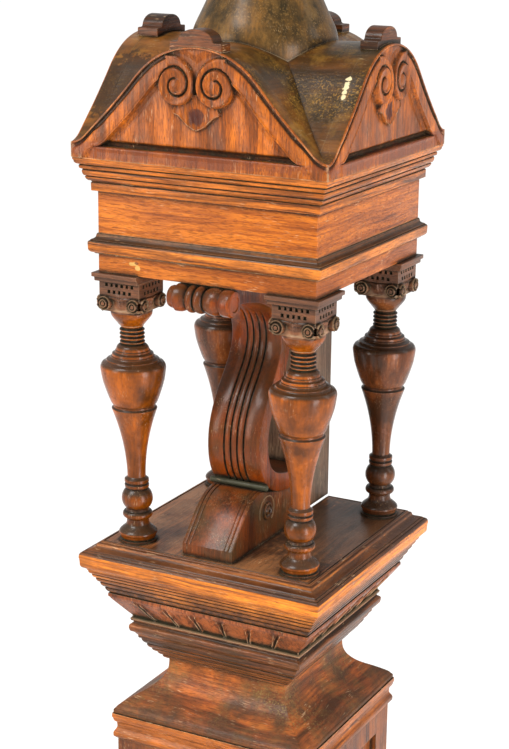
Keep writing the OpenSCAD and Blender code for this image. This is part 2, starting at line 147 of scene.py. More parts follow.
def ogee_height(x, crown, radius, sweep, half, pitch=math.radians(48.6), end=math.radians(12)):
    """Height of an ogee gable over x: a round crown, a straight flank and a sweep at the eaves."""
    x = np.abs(x)
    run = (half - radius * math.sin(pitch) - sweep * (math.sin(pitch) - math.sin(end))) / math.cos(pitch)
    x1, z1 = radius * math.sin(pitch), crown - radius + radius * math.cos(pitch)
    x2, z2 = x1 + run * math.cos(pitch), z1 - run * math.sin(pitch)
    fx, fz = x2 + sweep * math.sin(pitch), z2 + sweep * math.cos(pitch)
    top = crown - radius + np.sqrt(np.maximum(radius**2 - np.minimum(x, radius) ** 2, 0))
    flank = z1 - (x - x1) * math.tan(pitch)
    eave = fz - np.sqrt(np.maximum(sweep**2 - (x - fx) ** 2, 0))
    lift = 5.2 * step(x, half - 56, half + 4) - 1.6 * np.exp(-(((x - 78) / 24) ** 2))
    return np.where(x < x1, top, np.where(x < x2, flank, eave)) + lift


# ---- meshes ----
def build(name, verts, faces, finish, slot, node, sharp):
    """Makes the piece that stands for a node from points in millimetres, in place, riding on the post."""
    mesh = bpy.data.meshes.new(name)
    mesh.from_pydata((np.asarray(verts, float) * MM).tolist(), [], faces)
    bm = bmesh.new()
    bm.from_mesh(mesh)
    bmesh.ops.remove_doubles(bm, verts=bm.verts, dist=2e-6)
    bmesh.ops.dissolve_degenerate(bm, edges=bm.edges, dist=1e-6)
    bmesh.ops.recalc_face_normals(bm, faces=bm.faces)
    bm.to_mesh(mesh)
    bm.free()
    mesh.polygons.foreach_set("use_smooth", [True] * len(mesh.polygons))
    mesh.set_sharp_from_angle(angle=math.radians(sharp))
    obj = bpy.data.objects.new(name, mesh)
    bpy.context.scene.collection.objects.link(obj)
    mesh.materials.append(finishes()[finish])
    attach(obj, "root")
    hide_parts(node)
    return obj


def grid_faces(rows, cols, wrap=True):
    """Faces of a net of points, closed round along its rows if wrap is set."""
    out = []
    for i in range(rows - 1):
        a, b = i * cols, (i + 1) * cols
        out += [(a + j, a + (j + 1) % cols, b + (j + 1) % cols, b + j) for j in range(cols if wrap else cols - 1)]
    return out


def tube_faces(rows, cols):
    """Faces of a net of rings, with a face on each end."""
    return grid_faces(rows, cols) + [tuple(range(cols))[::-1], tuple(range((rows - 1) * cols, rows * cols))]


def square_run(profile, inner=None, corner=1.2, seg=1, relief=None):
    """A mitred square moulding: the profile's half widths round a square with worn corners. A run with an inner
    half width is hollow; others are solid.

    relief(along, i, half) gives an extra outward shift in mm for each point."""
    rows = [tuple(p) for p in profile]
    if inner is not None:
        rows += [(inner, rows[-1][1]), (inner, rows[0][1])]
    verts, cols = [], 4 * (seg + 1 + 3)
    for i, (half, z) in enumerate(rows):
        r = min(corner, half * 0.3)
        ring = []
        for j in range(seg + 1):
            along = -(half - r) + 2 * (half - r) * j / seg
            ring.append((along, -(half + (relief(along, i, half) if relief else 0)), z))
        for a in np.radians((-67.5, -45, -22.5)):
            ring.append(((half - r) + r * math.cos(a), -(half - r) + r * math.sin(a), z))
        for quarter in range(4):
            verts += turned_to(ring, quarter)
    n = len(rows)
    if inner is None:
        return verts, tube_faces(n, cols)
    return verts, grid_faces(n, cols) + [((n - 1) * cols + j, (n - 1) * cols + (j + 1) % cols, (j + 1) % cols, j)
                                         for j in range(cols)]


def lathe(profile, seg=72):
    """Turns an (r, z) profile about Z; ends on the axis are closed."""
    angles = [2 * math.pi * j / seg for j in range(seg)]
    verts = [(r * math.cos(a), r * math.sin(a), z) for r, z in profile for a in angles]
    return verts, tube_faces(len(profile), seg)


def slab(outline, front, back):
    """An upright outline, closed, given a thickness from front to back."""
    n = len(outline)
    verts = [(x, y, z) for y in (front, back) for x, z in outline]
    faces = [tuple(range(n)), tuple(range(2 * n - 1, n - 1, -1))]
    faces += [(i, (i + 1) % n, n + (i + 1) % n, n + i) for i in range(n)]
    return verts, faces


def turned_to(verts, quarter):
    """Turns points about Z by quarters of a turn."""
    c, s = [(1, 0), (0, 1), (-1, 0), (0, -1)][quarter % 4]
    return [(x * c - y * s, x * s + y * c, z) for x, y, z in verts]


def moved(verts, d):
    """Shifts points by d."""
    return [(v[0] + d[0], v[1] + d[1], v[2] + d[2]) for v in verts]


def join(*parts):
    """Puts several shapes in one net."""
    verts, faces = [], []
    for v, f in parts:
        b = len(verts)
        verts += list(v)
        faces += [tuple(i + b for i in q) for q in f]
    return verts, faces


def run(name, outline, finish, slot, node, inner=None, radius=0.3, sharp=30, **more):
    """Runs a moulding round the post. The outline is drawn up from its foot."""
    foot = low(node)
    outline = [(x, z + foot) for x, z in (soften(outline, radius) if radius else outline)]
    verts, faces = square_run(outline, inner, sizes().arris / MM, **more)
    return build(name, verts, faces, finish, slot, node, sharp)


def ease(obj, width, segments, angle):
    """Takes the sharpness off an edge."""
    m = obj.modifiers.new("eased edges", "BEVEL")
    m.width, m.segments, m.limit_method, m.angle_limit = width * MM, segments, "ANGLE", math.radians(angle)
    m.harden_normals = False


def cut_box(obj, lo, hi):
    """Cuts a box-shaped notch out of a piece for good."""
    corners = [(x, y, z) for x in (lo[0], hi[0]) for y in (lo[1], hi[1]) for z in (lo[2], hi[2])]
    mesh = bpy.data.meshes.new("cutter")
    mesh.from_pydata((np.array(corners) * MM).tolist(), [],
                     [(0, 1, 3, 2), (4, 6, 7, 5), (0, 4, 5, 1), (2, 3, 7, 6), (0, 2, 6, 4), (1, 5, 7, 3)])
    cutter = bpy.data.objects.new("cutter", mesh)
    bpy.context.scene.collection.objects.link(cutter)
    mod = obj.modifiers.new("notch", "BOOLEAN")
    mod.object, mod.operation, mod.solver = cutter, "DIFFERENCE", "EXACT"
    fixed = bpy.data.meshes.new_from_object(obj.evaluated_get(bpy.context.evaluated_depsgraph_get()))
    obj.modifiers.remove(mod)
    old = obj.data
    obj.data = fixed
    bpy.data.objects.remove(cutter)
    bpy.data.meshes.remove(old)
    bpy.data.meshes.remove(mesh)


# ---- finishes ----
def linear(code):
    """An sRGB hex colour as linear RGBA."""
    out = []
    for i in (1, 3, 5):
        c = int(code[i:i + 2], 16) / 255
        out.append(c / 12.92 if c <= 0.04045 else ((c + 0.055) / 1.055) ** 2.4)
    return (*out, 1.0)


def add(tree, kind, settings=None, *values, out=None, **named):
    """Adds a node with its settings, gives its sockets a value or a link, in order or by name, and returns the
    output called out, or else the first one in use."""
    node = tree.nodes.new("ShaderNode" + kind)
    for key, value in (settings or {}).items():
        if key != "stops":
            setattr(node, key, value)
            continue
        stops = node.color_ramp.elements
        while len(stops) < len(value):
            stops.new(0.5)
        for stop, (at, tone) in zip(stops, value):
            stop.position, stop.color = at, linear(tone) if isinstance(tone, str) else (tone, tone, tone, 1)
    pairs = list(zip([s for s in node.inputs if s.enabled], values))
    for socket, value in pairs + [(node.inputs[key.replace("_", " ")], value) for key, value in named.items()]:
        if isinstance(value, bpy.types.NodeSocket):
            tree.links.new(value, socket)
        else:
            socket.default_value = linear(value) if isinstance(value, str) else value
    used = [s for s in node.outputs if s.enabled]
    return node.outputs[out] if out else used[0] if used else None


TIMES, PLUS, LESS, TIMES_PLUS = ({"operation": name} for name in ("MULTIPLY", "ADD", "SUBTRACT", "MULTIPLY_ADD"))
PLUS_TO_ONE = {"operation": "ADD", "use_clamp": True}
OVER = {"data_type": "RGBA", "clamp_factor": True}
# Near black of the hollows: painted shade, with some old wax.
SHADE_AND_WAX = "#17120B"


def fade(start, end, low=0.0, high=1.0):
    """The stops of a ramp from low at start to high at end."""
    return {"stops": [(start, low), (end, high)]}


def oak(name, tones, grain="level", shade_and_wax=0.9, wear=0.5, dust=0.2, rough=(0.26, 0.44), coat=0.4, pores=0.8,
        flecks=None, wear_colour="#E2B98C", settled_dust_and_shade=0.0, settled_dust_and_shade_colour="#2C2116", cavity=0.007, mottle=0.6,
        marks=(), dust_colour="#6A6850", stain=None, streak=1.0, scuffs=0.4):
    """Stained and varnished oak. Pores are half a millimetre wide and 6 to 10 mm long; streaks of figure lie
    2 to 3 mm apart across the grain and broad bands about 20 mm apart; the gloss varies over 30 to 60 mm. The
    hollows are darkened towards near black, which is painted shade with some old wax in it. Up-facing steps hold
    a dark film of settled dust, which on the scroll is also painted shade under its roll, and the arrises are
    rubbed pale.

    tones are the bright, middle and dark figure and the mottle. stain is (full at, none at, colour, amount) by
    height and marks are (middle, radii, colour, amount), all in millimetres."""
    material = bpy.data.materials.new(name)
    material.use_nodes = True
    tree = material.node_tree
    tree.nodes.clear()
    node = partial(add, tree)

    def stretched(along, across):
        """The scale of a pattern that is so long with the grain and so wide across it, in metres."""
        a, c = 1 / along, 1 / across
        return {"level": (a, a, c), "upright": (c, c, a), "deep": (c, a, c)}[grain]

    def film(colour, mask, amount, tint):
        """Lays a tint over the colour where the mask is white."""
        return node("Mix", OVER, node("Math", TIMES, mask, amount), colour, tint)

    place = node("TexCoord", out="Object")
    wander = node("TexNoise", Vector=place, Scale=7.0, Detail=2.0, out="Color")
    bent = node("VectorMath", TIMES_PLUS, wander, (0.014, 0.014, 0.014), place)
    # Drawn out along the grain, by length and width in metres: streaks, broad bands and pores.
    figure, bands, pore = (
        node("TexNoise", Vector=node("Mapping", Vector=bent, Scale=stretched(along, across)), Scale=1.0,
             Detail=detail, Roughness=roughness)
        for along, across, detail, roughness in ((0.075, 0.0028, 4.0, 0.6), (0.26, 0.02, 3.0, 0.5),
                                                 (0.0085, 0.0006, 1.0, 0.5)))
    # The same in every direction: patches of 50 mm and grime of 6 mm.
    patch = node("TexNoise", Vector=place, Scale=20.0, Detail=4.0, Roughness=0.62)
    fine = node("TexNoise", Vector=place, Scale=170.0, Detail=3.0, Roughness=0.6)
    open_pores = node("ValToRGB", fade(0.36, 0.43, 1.0, 0.0), pore)
    tone = node("Math", TIMES_PLUS, node("Math", LESS, bands, 0.5), 0.7,
                node("Math", TIMES_PLUS, node("Math", LESS, figure, 0.5), 0.9 * streak, 0.5))
    colour = node("ValToRGB", {"stops": [(0.34, tones[2]), (0.47, tones[1]), (0.6, tones[0])]}, tone)
    colour = film(colour, node("ValToRGB", fade(0.36, 0.6, 1.0, 0.0), patch), mottle, tones[3])
    colour = film(colour, open_pores, pores * 0.6, tones[2])
    if flecks:
        # Specks of 2 mm gathered in areas of 70 mm, and a haze of 30 mm.
        speck = node("TexNoise", Vector=place, Scale=420.0, Detail=2.0, Roughness=0.7)
        area = node("TexNoise", Vector=place, Scale=15.0, Detail=3.0, Roughness=0.55)
        haze = node("TexNoise", Vector=place, Scale=34.0, Detail=4.0, Roughness=0.7)
        grains = node("Math", TIMES, node("ValToRGB", fade(0.54, 0.64), speck),
                      node("ValToRGB", fade(0.47, 0.66), area))
        colour = film(colour, grains, 0.75, flecks)
        colour = film(colour, node("ValToRGB", fade(0.5, 0.75), haze), 0.45, flecks)
    # A dark film on up-facing surfaces: settled dust, and on the scroll painted shade at its top under the roll and the
    # canopy.
    if settled_dust_and_shade:
        up = node("SeparateXYZ", Vector=node("NewGeometry", out="Normal"), out="Z")
        lying = node("Math", TIMES, node("ValToRGB", fade(0.16, 0.5), up),
                     node("ValToRGB", fade(0.3, 0.55, 0.7, 1.0), patch))
        colour = film(colour, lying, settled_dust_and_shade, settled_dust_and_shade_colour)
    # Painted shade in the hollows: darkened by occlusion towards near black, with some old wax in them.
    hollow = node("Math", LESS, 1.0, node("AmbientOcclusion", {"samples": 8}, Distance=cavity, out="AO"))
    hollow = node("Math", TIMES, hollow, node("Math", TIMES_PLUS, fine, 0.7, 0.7))
    deep = node("ValToRGB", fade(0.09, 0.36), hollow)
    colour = film(colour, deep, shade_and_wax, SHADE_AND_WAX)
    if dust:
        silt = node("ValToRGB", fade(0.2, 0.42), node("Math", TIMES, hollow, fine))
        colour = film(colour, silt, dust, dust_colour)
    if scuffs:
        # Nicks of 12 by 1 mm along the grain, gathered in areas of 20 mm.
        lines = node("Mapping", Vector=bent, Scale=stretched(0.012, 0.0011))
        nick = node("TexNoise", Vector=lines, Scale=1.0, Detail=2.0, Roughness=0.6)
        area = node("TexNoise", Vector=place, Scale=48.0, Detail=2.0, Roughness=0.55)
        nicks = node("Math", TIMES, node("ValToRGB", fade(0.61, 0.67), nick), node("ValToRGB", fade(0.5, 0.64), area))
        colour = film(colour, nicks, scuffs, wear_colour)
    if wear:
        arris = node("AmbientOcclusion", {"samples": 8, "inside": True}, Distance=0.0018, out="AO")
        ragged = node("Math", PLUS, patch, node("Math", TIMES, fine, 0.8))
        rub = node("Math", TIMES, node("Math", LESS, 1.0, arris), ragged)
        colour = film(colour, node("ValToRGB", fade(0.3, 0.58), rub), wear, wear_colour)
    if stain:
        full, none, tint, amount = stain
        height = node("Math", TIMES_PLUS, node("Math", LESS, patch, 0.5), 0.7 * abs(none - full) * MM,
                      node("SeparateXYZ", Vector=place, out="Z"))
        near = node("MapRange", Value=height, From_Min=none * MM, From_Max=full * MM)
        near = node("Math", TIMES, near, node("Math", PLUS_TO_ONE, fine, 0.35))
        colour = film(colour, near, amount, tint)
    for middle, radii, tint, amount in marks:
        off = node("VectorMath", LESS, place, tuple(v * MM for v in middle))
        off = node("VectorMath", {"operation": "DIVIDE"}, off, tuple(v * MM for v in radii))
        far = node("VectorMath", {"operation": "LENGTH"}, off)
        far = node("Math", TIMES_PLUS, node("Math", LESS, fine, 0.5), 1.4, far)
        colour = film(colour, node("ValToRGB", fade(0.8, 1.0, 1.0, 0.0), far), amount, tint)
    gloss = node("Math", TIMES_PLUS, patch, rough[1] - rough[0], rough[0])
    gloss = node("Math", PLUS_TO_ONE, gloss, node("Math", TIMES, deep, 0.35))
    relief = node("Math", LESS, node("Math", TIMES, figure, 0.4), node("Math", TIMES, open_pores, 0.7 * pores))
    relief = node("Math", PLUS, relief, node("Math", TIMES, fine, 0.3))
    bump = node("Bump", Strength=0.55, Distance=0.0006, Height=relief)
    varnished = node("BsdfPrincipled", Base_Color=colour, Roughness=gloss, Normal=bump, IOR=1.27,
                     Coat_Weight=coat * 0.4, Coat_Roughness=0.17, Coat_IOR=1.45)
    node("OutputMaterial", Surface=varnished)
    return material


FINISH = {}


def finishes():
    """The finishes by name, made once. Places and radii of marks are in millimetres."""
    if FINISH:
        return FINISH
    colours = bpy.context.scene.newel_colours
    belt, deck, leaf, skirt = high("belt_moulding"), low("platform"), low("leaf_band"), low("skirt")
    bare, cream, chestnut = "#DDB566", "#E6D6A6", "#6E3420"
    # A chip and a scrape that go through the stain to bare wood, with a dark bruise beside them.
    chips = (((-86, -130, 1259), (5, 9, 2.4), bare, 0.75), ((-80.5, -130, 1255.5), (3.4, 9, 3.4), bare, 0.7),
             ((-82, -130, 1260), (2.6, 9, 1.6), "#6E3A18", 0.8))
    # A purple-brown patch on the heart of the leaf under the scrolls of each gable, and a chestnut band along two lower
    # rails.
    hearts_and_rails = [((x, y, 1423), (11 if y else 9, 11 if x else 9, 9), "#3A1C1C", 0.8)
              for x, y in ((0, -148), (0, 148), (148, 0), (-148, 0))]
    hearts_and_rails += [((-30, -152, 1381), (190, 12, 10), chestnut, 0.5), ((152, 20, 1381), (12, 190, 10), chestnut, 0.5)]
    # Painted shade on the roof: dark patches over the left vault and the back of the right vault, and a splash of cream
    # paint that ran down the roof between two vaults.
    roof_shade_and_splash = [((-118, -100, 1445), (52, 62, 46), "#2A1C10", 0.75), ((118, 100, 1450), (46, 52, 40), "#2A1C10", 0.7)]
    roof_shade_and_splash += [((131.5 + 0.3 * k, -71 - 3.4 * k, 1463.5 - 4.2 * k), (4.4 - 0.3 * k, 4.0, 4.0), cream, 0.95)
               for k in range(5)]
    # Painted shade over the right side of the platform's edge, and a fleck of cream paint on its front.
    right_shade_and_fleck = (((150, 75, 955), (36, 105, 34), "#4A2C18", 0.7), ((119, -147, 931), (2.4, 9, 2.4), cream, 1.0))
    # Painted shadow darkening the deck's right half, to the right of the scroll.
    deck_shadow = (((95, 35, high("platform")), (80, 130, 60), "#2E241C", 0.65),)
    moulded = dict(wear=0.6, dust=0.3)
    turned = dict(grain="upright", shade_and_wax=0.95, dust=0.3, rough=(0.2, 0.34), coat=0.5, pores=0.35, settled_dust_and_shade=0.88,
                  cavity=0.008, streak=0.35)
    dry = dict(rough=(0.4, 0.6), coat=0.1)
    painted = dict(wear=0.3, pores=0.2, mottle=0.95)
    FINISH.update(
        # Quarter-sawn oak boards under bright shellac: orange, with open pores and gloss on the flats.
        case=oak("shellacked oak case", (colours.bright, colours.middle, colours.dark, "#9A501A"), streak=0.8,
                 pores=1.0, marks=chips),
        # The same shellac over boards with upright grain: redder, with the figure broken by the carving.
        gable=oak("shellacked oak gable", ("#C86915", "#9B4C0E", "#592B0B", "#6F3810"), "upright", wear=0.4,
                  pores=1.2, streak=0.75, mottle=0.8, marks=hearts_and_rails),
        # Run mouldings, shellacked: lit on each reed, darkened with painted shade in each nick and rubbed pale on the
        # arrises.
        mould=oak("shellacked oak moulding", ("#D67726", "#A95A1A", "#562A0D", "#834A1C"), **moulded),
        cap=oak("shaft head moulding", ("#BB6621", "#934C16", "#4A230A", "#723E18"), **moulded),
        # The belt, its upper half brown with the dust that settled on it, over clean shellac.
        belt=oak("dirty belt moulding", ("#DF812D", "#AD5F1D", "#54290D", "#81481C"), settled_dust_and_shade=0.9,
                 settled_dust_and_shade_colour="#3C2B19", stain=(belt, belt - 11, "#2E2014", 1.0), **moulded),
        # The platform's edge: bright at the top, darker down its reeds.
        edge=oak("platform edge oak", ("#F38D2A", "#C26B20", "#6A340F", "#99551E"), settled_dust_and_shade=0.9,
                 settled_dust_and_shade_colour="#3A2416", stain=(deck + 4, deck + 44, "#3A200E", 1.1), marks=right_shade_and_fleck,
                 **moulded),
        # Carved leaves: warm on the bellies, greenish dust in the cuts and along the foot.
        leaf=oak("carved oak leaf band", ("#A5592D", "#824321", "#482310", "#663921"), "upright", wear=0.45, dust=0.6,
                 dust_colour="#3C3F2C", stain=(leaf - 2, leaf + 12, "#2E3122", 0.85)),
        # Mouldings under the platform, never wiped: brown and dull with grey dust in the nicks.
        bed=oak("dirty oak moulding", ("#905328", "#6B3B1C", "#361E0E", "#4E331A"), wear=0.4, dust=0.45,
                dust_colour="#4A4A34"),
        # The skirt, its varnish rubbed through by hands: half matt, with ochre grains left in the pores.
        skirt=oak("rubbed oak skirt", ("#BE672A", "#8D4822", "#4D2812", "#4F3522"), wear=0.4, mottle=0.95, streak=0.7,
                  dust=0.4, flecks="#80683A", stain=(skirt - 2, skirt + 30, "#3E2A18", 0.9), **dry),
        # The deck, one board with its grain front to back: brown stain, with painted shadow taking its right half near
        # black.
        deck=oak("stained oak deck", ("#915A32", "#683F24", "#3C2514", "#966944"), "deep", dust=0.3,
                 rough=(0.22, 0.42), coat=0.5, mottle=0.7, marks=deck_shadow),
        # Turned oak, burnished on the lathe and French polished: glossy, with dark wax and painted shade where the tool
        # stopped.
        turned=oak("polished turned oak", ("#AF5704", "#874102", "#562802", "#4A2403"), wear=0.45,
                   settled_dust_and_shade_colour="#30261A", mottle=0.95, scuffs=0.25, **turned),
        # The same turning at the back, darker and browner: a copy of the turned finish in painted shade.
        shaded=oak("turned oak in painted shade", ("#884A21", "#603115", "#391D0A", "#351F10"), wear=0.35,
                   settled_dust_and_shade_colour="#241B12", mottle=0.85, scuffs=0.2, **turned),
        # Capitals, carved and bathed in dark stain: near black with painted shade in the holes, grey brown on the
        # edges.
        capital=oak("dark carved capital", ("#8F5634", "#69412A", "#3E271C", "#50382A"), wear=0.55, dust=0.25,
                    settled_dust_and_shade=0.7, cavity=0.005, wear_colour="#A88868", scuffs=0.0, streak=0.5),
        # The scroll, carved and polished: deep orange on the reeds, black with painted shade in the grooves, and a dark
        # film of painted shade on its top under the roll.
        carved=oak("carved oak scroll", ("#913F08", "#6E2C05", "#401702", "#5A300B"), "upright", shade_and_wax=0.97, wear=0.45,
                   dust=0.3, rough=(0.22, 0.4), coat=0.5, mottle=0.9, streak=0.6, settled_dust_and_shade=0.6,
                   settled_dust_and_shade_colour="#3A2A1A"),
        foot=oak("carved oak foot", ("#843E10", "#622D0B", "#3B1B06", "#46331B"), "upright", wear=0.15, mottle=0.95,
                 cavity=0.006, streak=0.6),
        # The post behind the scroll, wiped once with thin stain: grey brown and matt.
        post=oak("thinly stained oak post", ("#896850", "#6F513C", "#4B3526", "#625643"), "upright", shade_and_wax=0.8,
                 wear=0.25, **dry),
        # The bead in the crease, buried in dust: olive and dull.
        bead=oak("dust-filled bead", ("#3B3A2A", "#2F2F22", "#1C1C13", "#53513B"), shade_and_wax=0.5, wear=0.3, coat=0.2,
                 rough=(0.4, 0.6)),
        # Dark varnish, crazed and overlaid with bronze paint rubbed down to gold grains.
        roof=oak("varnished roof", ("#85501A", "#5E3812", "#33200B", "#33260F"), dust=0.25, flecks="#A57830",
                 rough=(0.2, 0.4), wear_colour="#A98E66", streak=0.25, marks=roof_shade_and_splash, **painted),
        bell=oak("varnished bell", ("#8D5F23", "#5E421C", "#31240E", "#2B220E"), "upright", dust=0.3, flecks="#96703A",
                 rough=(0.24, 0.46), streak=0.3, wear_colour="#B79C74", **painted),
        # The crest blocks and the knob, in the capitals' dark stain over a redder wood.
        crest=oak("dark carved crest", ("#894511", "#5B2C09", "#2E1604", "#341E09"), wear=0.55, settled_dust_and_shade=0.6,
                  settled_dust_and_shade_colour="#2C1F14"),
        # The framed shaft: brown oak, evenly stained and varnished.
        shaft=oak("shaft oak", ("#94501E", "#743A16", "#40200C", "#5C3218"), "upright"),
    )
    return FINISH


# ---- pieces ----
class Colours(bpy.types.PropertyGroup):
    """Colours of the stained oak, as sRGB hex codes."""
    bright: StringProperty(name="Bright oak", description="Colour of the varnished oak in the light", default="#CB701C")
    middle: StringProperty(name="Middle oak", description="Colour of the figure's middle tone", default="#A55414")
    dark: StringProperty(name="Dark oak", description="Colour of the darkest figure", default="#652D0A")


class Sizes(bpy.types.PropertyGroup):
    """Sizes that the carving and turning follow."""
    arris: FloatProperty(name="Worn corner", description="Radius left on a moulding's corners by wear",
                         default=1.4 * MM, min=0, max=4 * MM, unit="LENGTH")
    relief_pitch: FloatProperty(name="Carving pitch", description="Spacing of the points that model the carving",
                                default=1.25 * MM, min=0.8 * MM, max=3 * MM, unit="LENGTH")
    volute_radius: FloatProperty(name="Gable scroll radius", description="Outer radius of the scrolls on the gables",
                                 default=20.5 * MM, min=15 * MM, max=24 * MM, unit="LENGTH")
    leaves: IntProperty(name="Leaves", description="Leaves carved on each side of the band", default=7, min=3, max=12)
    lean: FloatProperty(name="Lean", description="How far the front left baluster's foot stands inward",
                        default=7 * MM, min=0, max=10 * MM, unit="LENGTH")


def sizes():
    """The sizes set in the panel."""
    return bpy.context.scene.newel_sizes


# The groove's radius in mm by degrees wound inward from the loose end.
SPIRAL = np.array([(40, 40), (60, 34.5), (75, 31), (90, 29.4), (105, 27.2), (120, 25.6), (150, 23.4), (180, 22.3),
                   (225, 21.6), (270, 21.0), (315, 20.6), (360, 20.2), (405, 19.6), (450, 18.8), (495, 16.6),
                   (540, 14.2), (585, 12.2), (630, 10.4), (675, 9.0), (720, 8.0), (765, 7.4), (810, 7.0)])
SPIRAL_RADIUS, SPIRAL_EYE, FAR = 20.5, 7.0, 99.0


def scroll_relief(u, w):
    """Height of one carved scroll about its middle, with the mask of where it rules. It winds inward
    anticlockwise from a loose end above."""
    scale = sizes().volute_radius / MM / SPIRAL_RADIUS
    rho = np.hypot(u, w) / scale
    theta = np.degrees(np.arctan2(w, u)) % 360
    gap = np.full(rho.shape, FAR)
    below = np.full(rho.shape, FAR)
    wound = np.full(rho.shape, 400.0)
    for k in (0, 1, 2):
        a = theta + 360 * k
        r = np.interp(a, SPIRAL[:, 0], SPIRAL[:, 1], left=FAR, right=FAR)
        gap = np.minimum(gap, np.abs(rho - r))
        closer = (rho < r) & (r - rho < below)
        wound = np.where(closer, a, wound)
        below = np.where(closer, r - rho, below)
    # Each turn is highest just inside its outer groove and falls towards the next.
    lift = 0.4 + 2.4 * step(wound, 70, 200)
    turn = lift * step(below, 0.3, 2.4) - 0.2 * np.clip(below - 3, 0, 9) * lift / 2.8
    turn = np.where(rho < SPIRAL_EYE, 2.9 - 1.1 * (rho / SPIRAL_EYE) ** 2, turn)
    groove = -2.4 * np.exp(-(gap / 0.7) ** 2)
    outer = np.interp(np.where(theta > 66, theta, theta + 360), SPIRAL[:, 0], SPIRAL[:, 1])
    return turn + groove, 1 - step(rho, outer - 0.2, outer + 0.5)


CROWN, HALF = 122.0, 150
PANEL_HALF, RAIL, BORDER = 121, 13.5, 22
FACE, BOX_FACE = 150.0, 130.0


def gable_top(x):
    """Height of the ogee over the gable's foot."""
    return ogee_height(x, CROWN, 96, 33, HALF)


def gable_relief(x, z, edge, sunk):
    """How far the carved gable stands out from its face, in mm. edge is the distance in from the ogee's
    top edge, sunk the distance in from the sunk panel's edge."""
    bead = [(-1, -1.8), (0.0, -1.0), (0.8, 0.5), (2.0, 0.5), (2.7, -1.2), (3.3, -2.7), (5.2, -2.7), (6.2, -1.6),
            (7.0, -0.1), (7.8, 0.2), (14, 0.5), (19.6, 0.3), (20.4, 0.9), (21.2, 0.9), (21.8, 0.2), (22.1, -0.8)]
    border = np.interp(edge, *zip(*bead))
    slope = [(0, -0.8), (0.9, -2.0), (1.2, -3.6), (2.6, -4.9), (5.0, -5.6), (8, -5.2)]
    floor = np.interp(sunk, *zip(*slope)) + 0.25 * np.sin(x * 0.21 + z * 0.05) * step(sunk, 4, 9)
    out = np.where(sunk > 0, floor, border)
    rail = z - RAIL
    bottom = np.interp(rail, [-3.2, -2.4, -1.6, -0.6, 0.0, 0.5, 3.5, 7], [0, 0.5, 0.5, 0.0, -1.2, -9.0, -8.6, -5.2])
    low_part = (np.abs(x) < PANEL_HALF) & (rail < 7)
    out = np.where(low_part & (sunk > 0), np.minimum(bottom, np.where(rail > 0, floor, 9)), out)
    low_rail = (rail <= 0) & (np.abs(x) < 124)
    out = np.where(low_rail & (edge > 8), np.where(np.abs(x) < 119, bottom, np.minimum(border, 0.2)), out)
    # The leaf under the scrolls: shoulders, an ogee to its tip and a sunk heart.
    half = np.interp(z, [37.6, 39, 42, 47, 52, 54, 57, 60, 66, 74], [0, 4, 10, 15.5, 21, 26.5, 27.5, 26, 23, 22])
    inside_leaf = (z > 37.6) & (z < 74)
    rim = half - np.abs(x)
    leaf = -1.9 + 0.9 * np.exp(-((rim - 1.2) / 1.0) ** 2) - 2.2 * np.exp(-(x / 9.5) ** 2 - ((z - 52) / 7.5) ** 2)
    leaf += 0.5 * np.cos(x * 1.05 + (z - 50) * 0.25) * np.exp(-(x / 13) ** 2)
    k = step(rim, -0.5, 0.5) * inside_leaf
    out = np.where((sunk > 0) & (rail > 3), out * (1 - k) + leaf * k, out)
    across, up = np.abs(x) - 22.6, z - 82.5
    turn, mask = scroll_relief(across, up)
    # Above the scrolls the ground between their loose ends falls back to a V.
    vee = (up > 0) & (np.abs(x) < 30) & (mask < 0.5) & (edge > 2.4)
    out = np.where(vee, -2.9 + 1.7 * step(np.hypot(across, up), 31, 38), out)
    return out * (1 - mask) + turn * mask


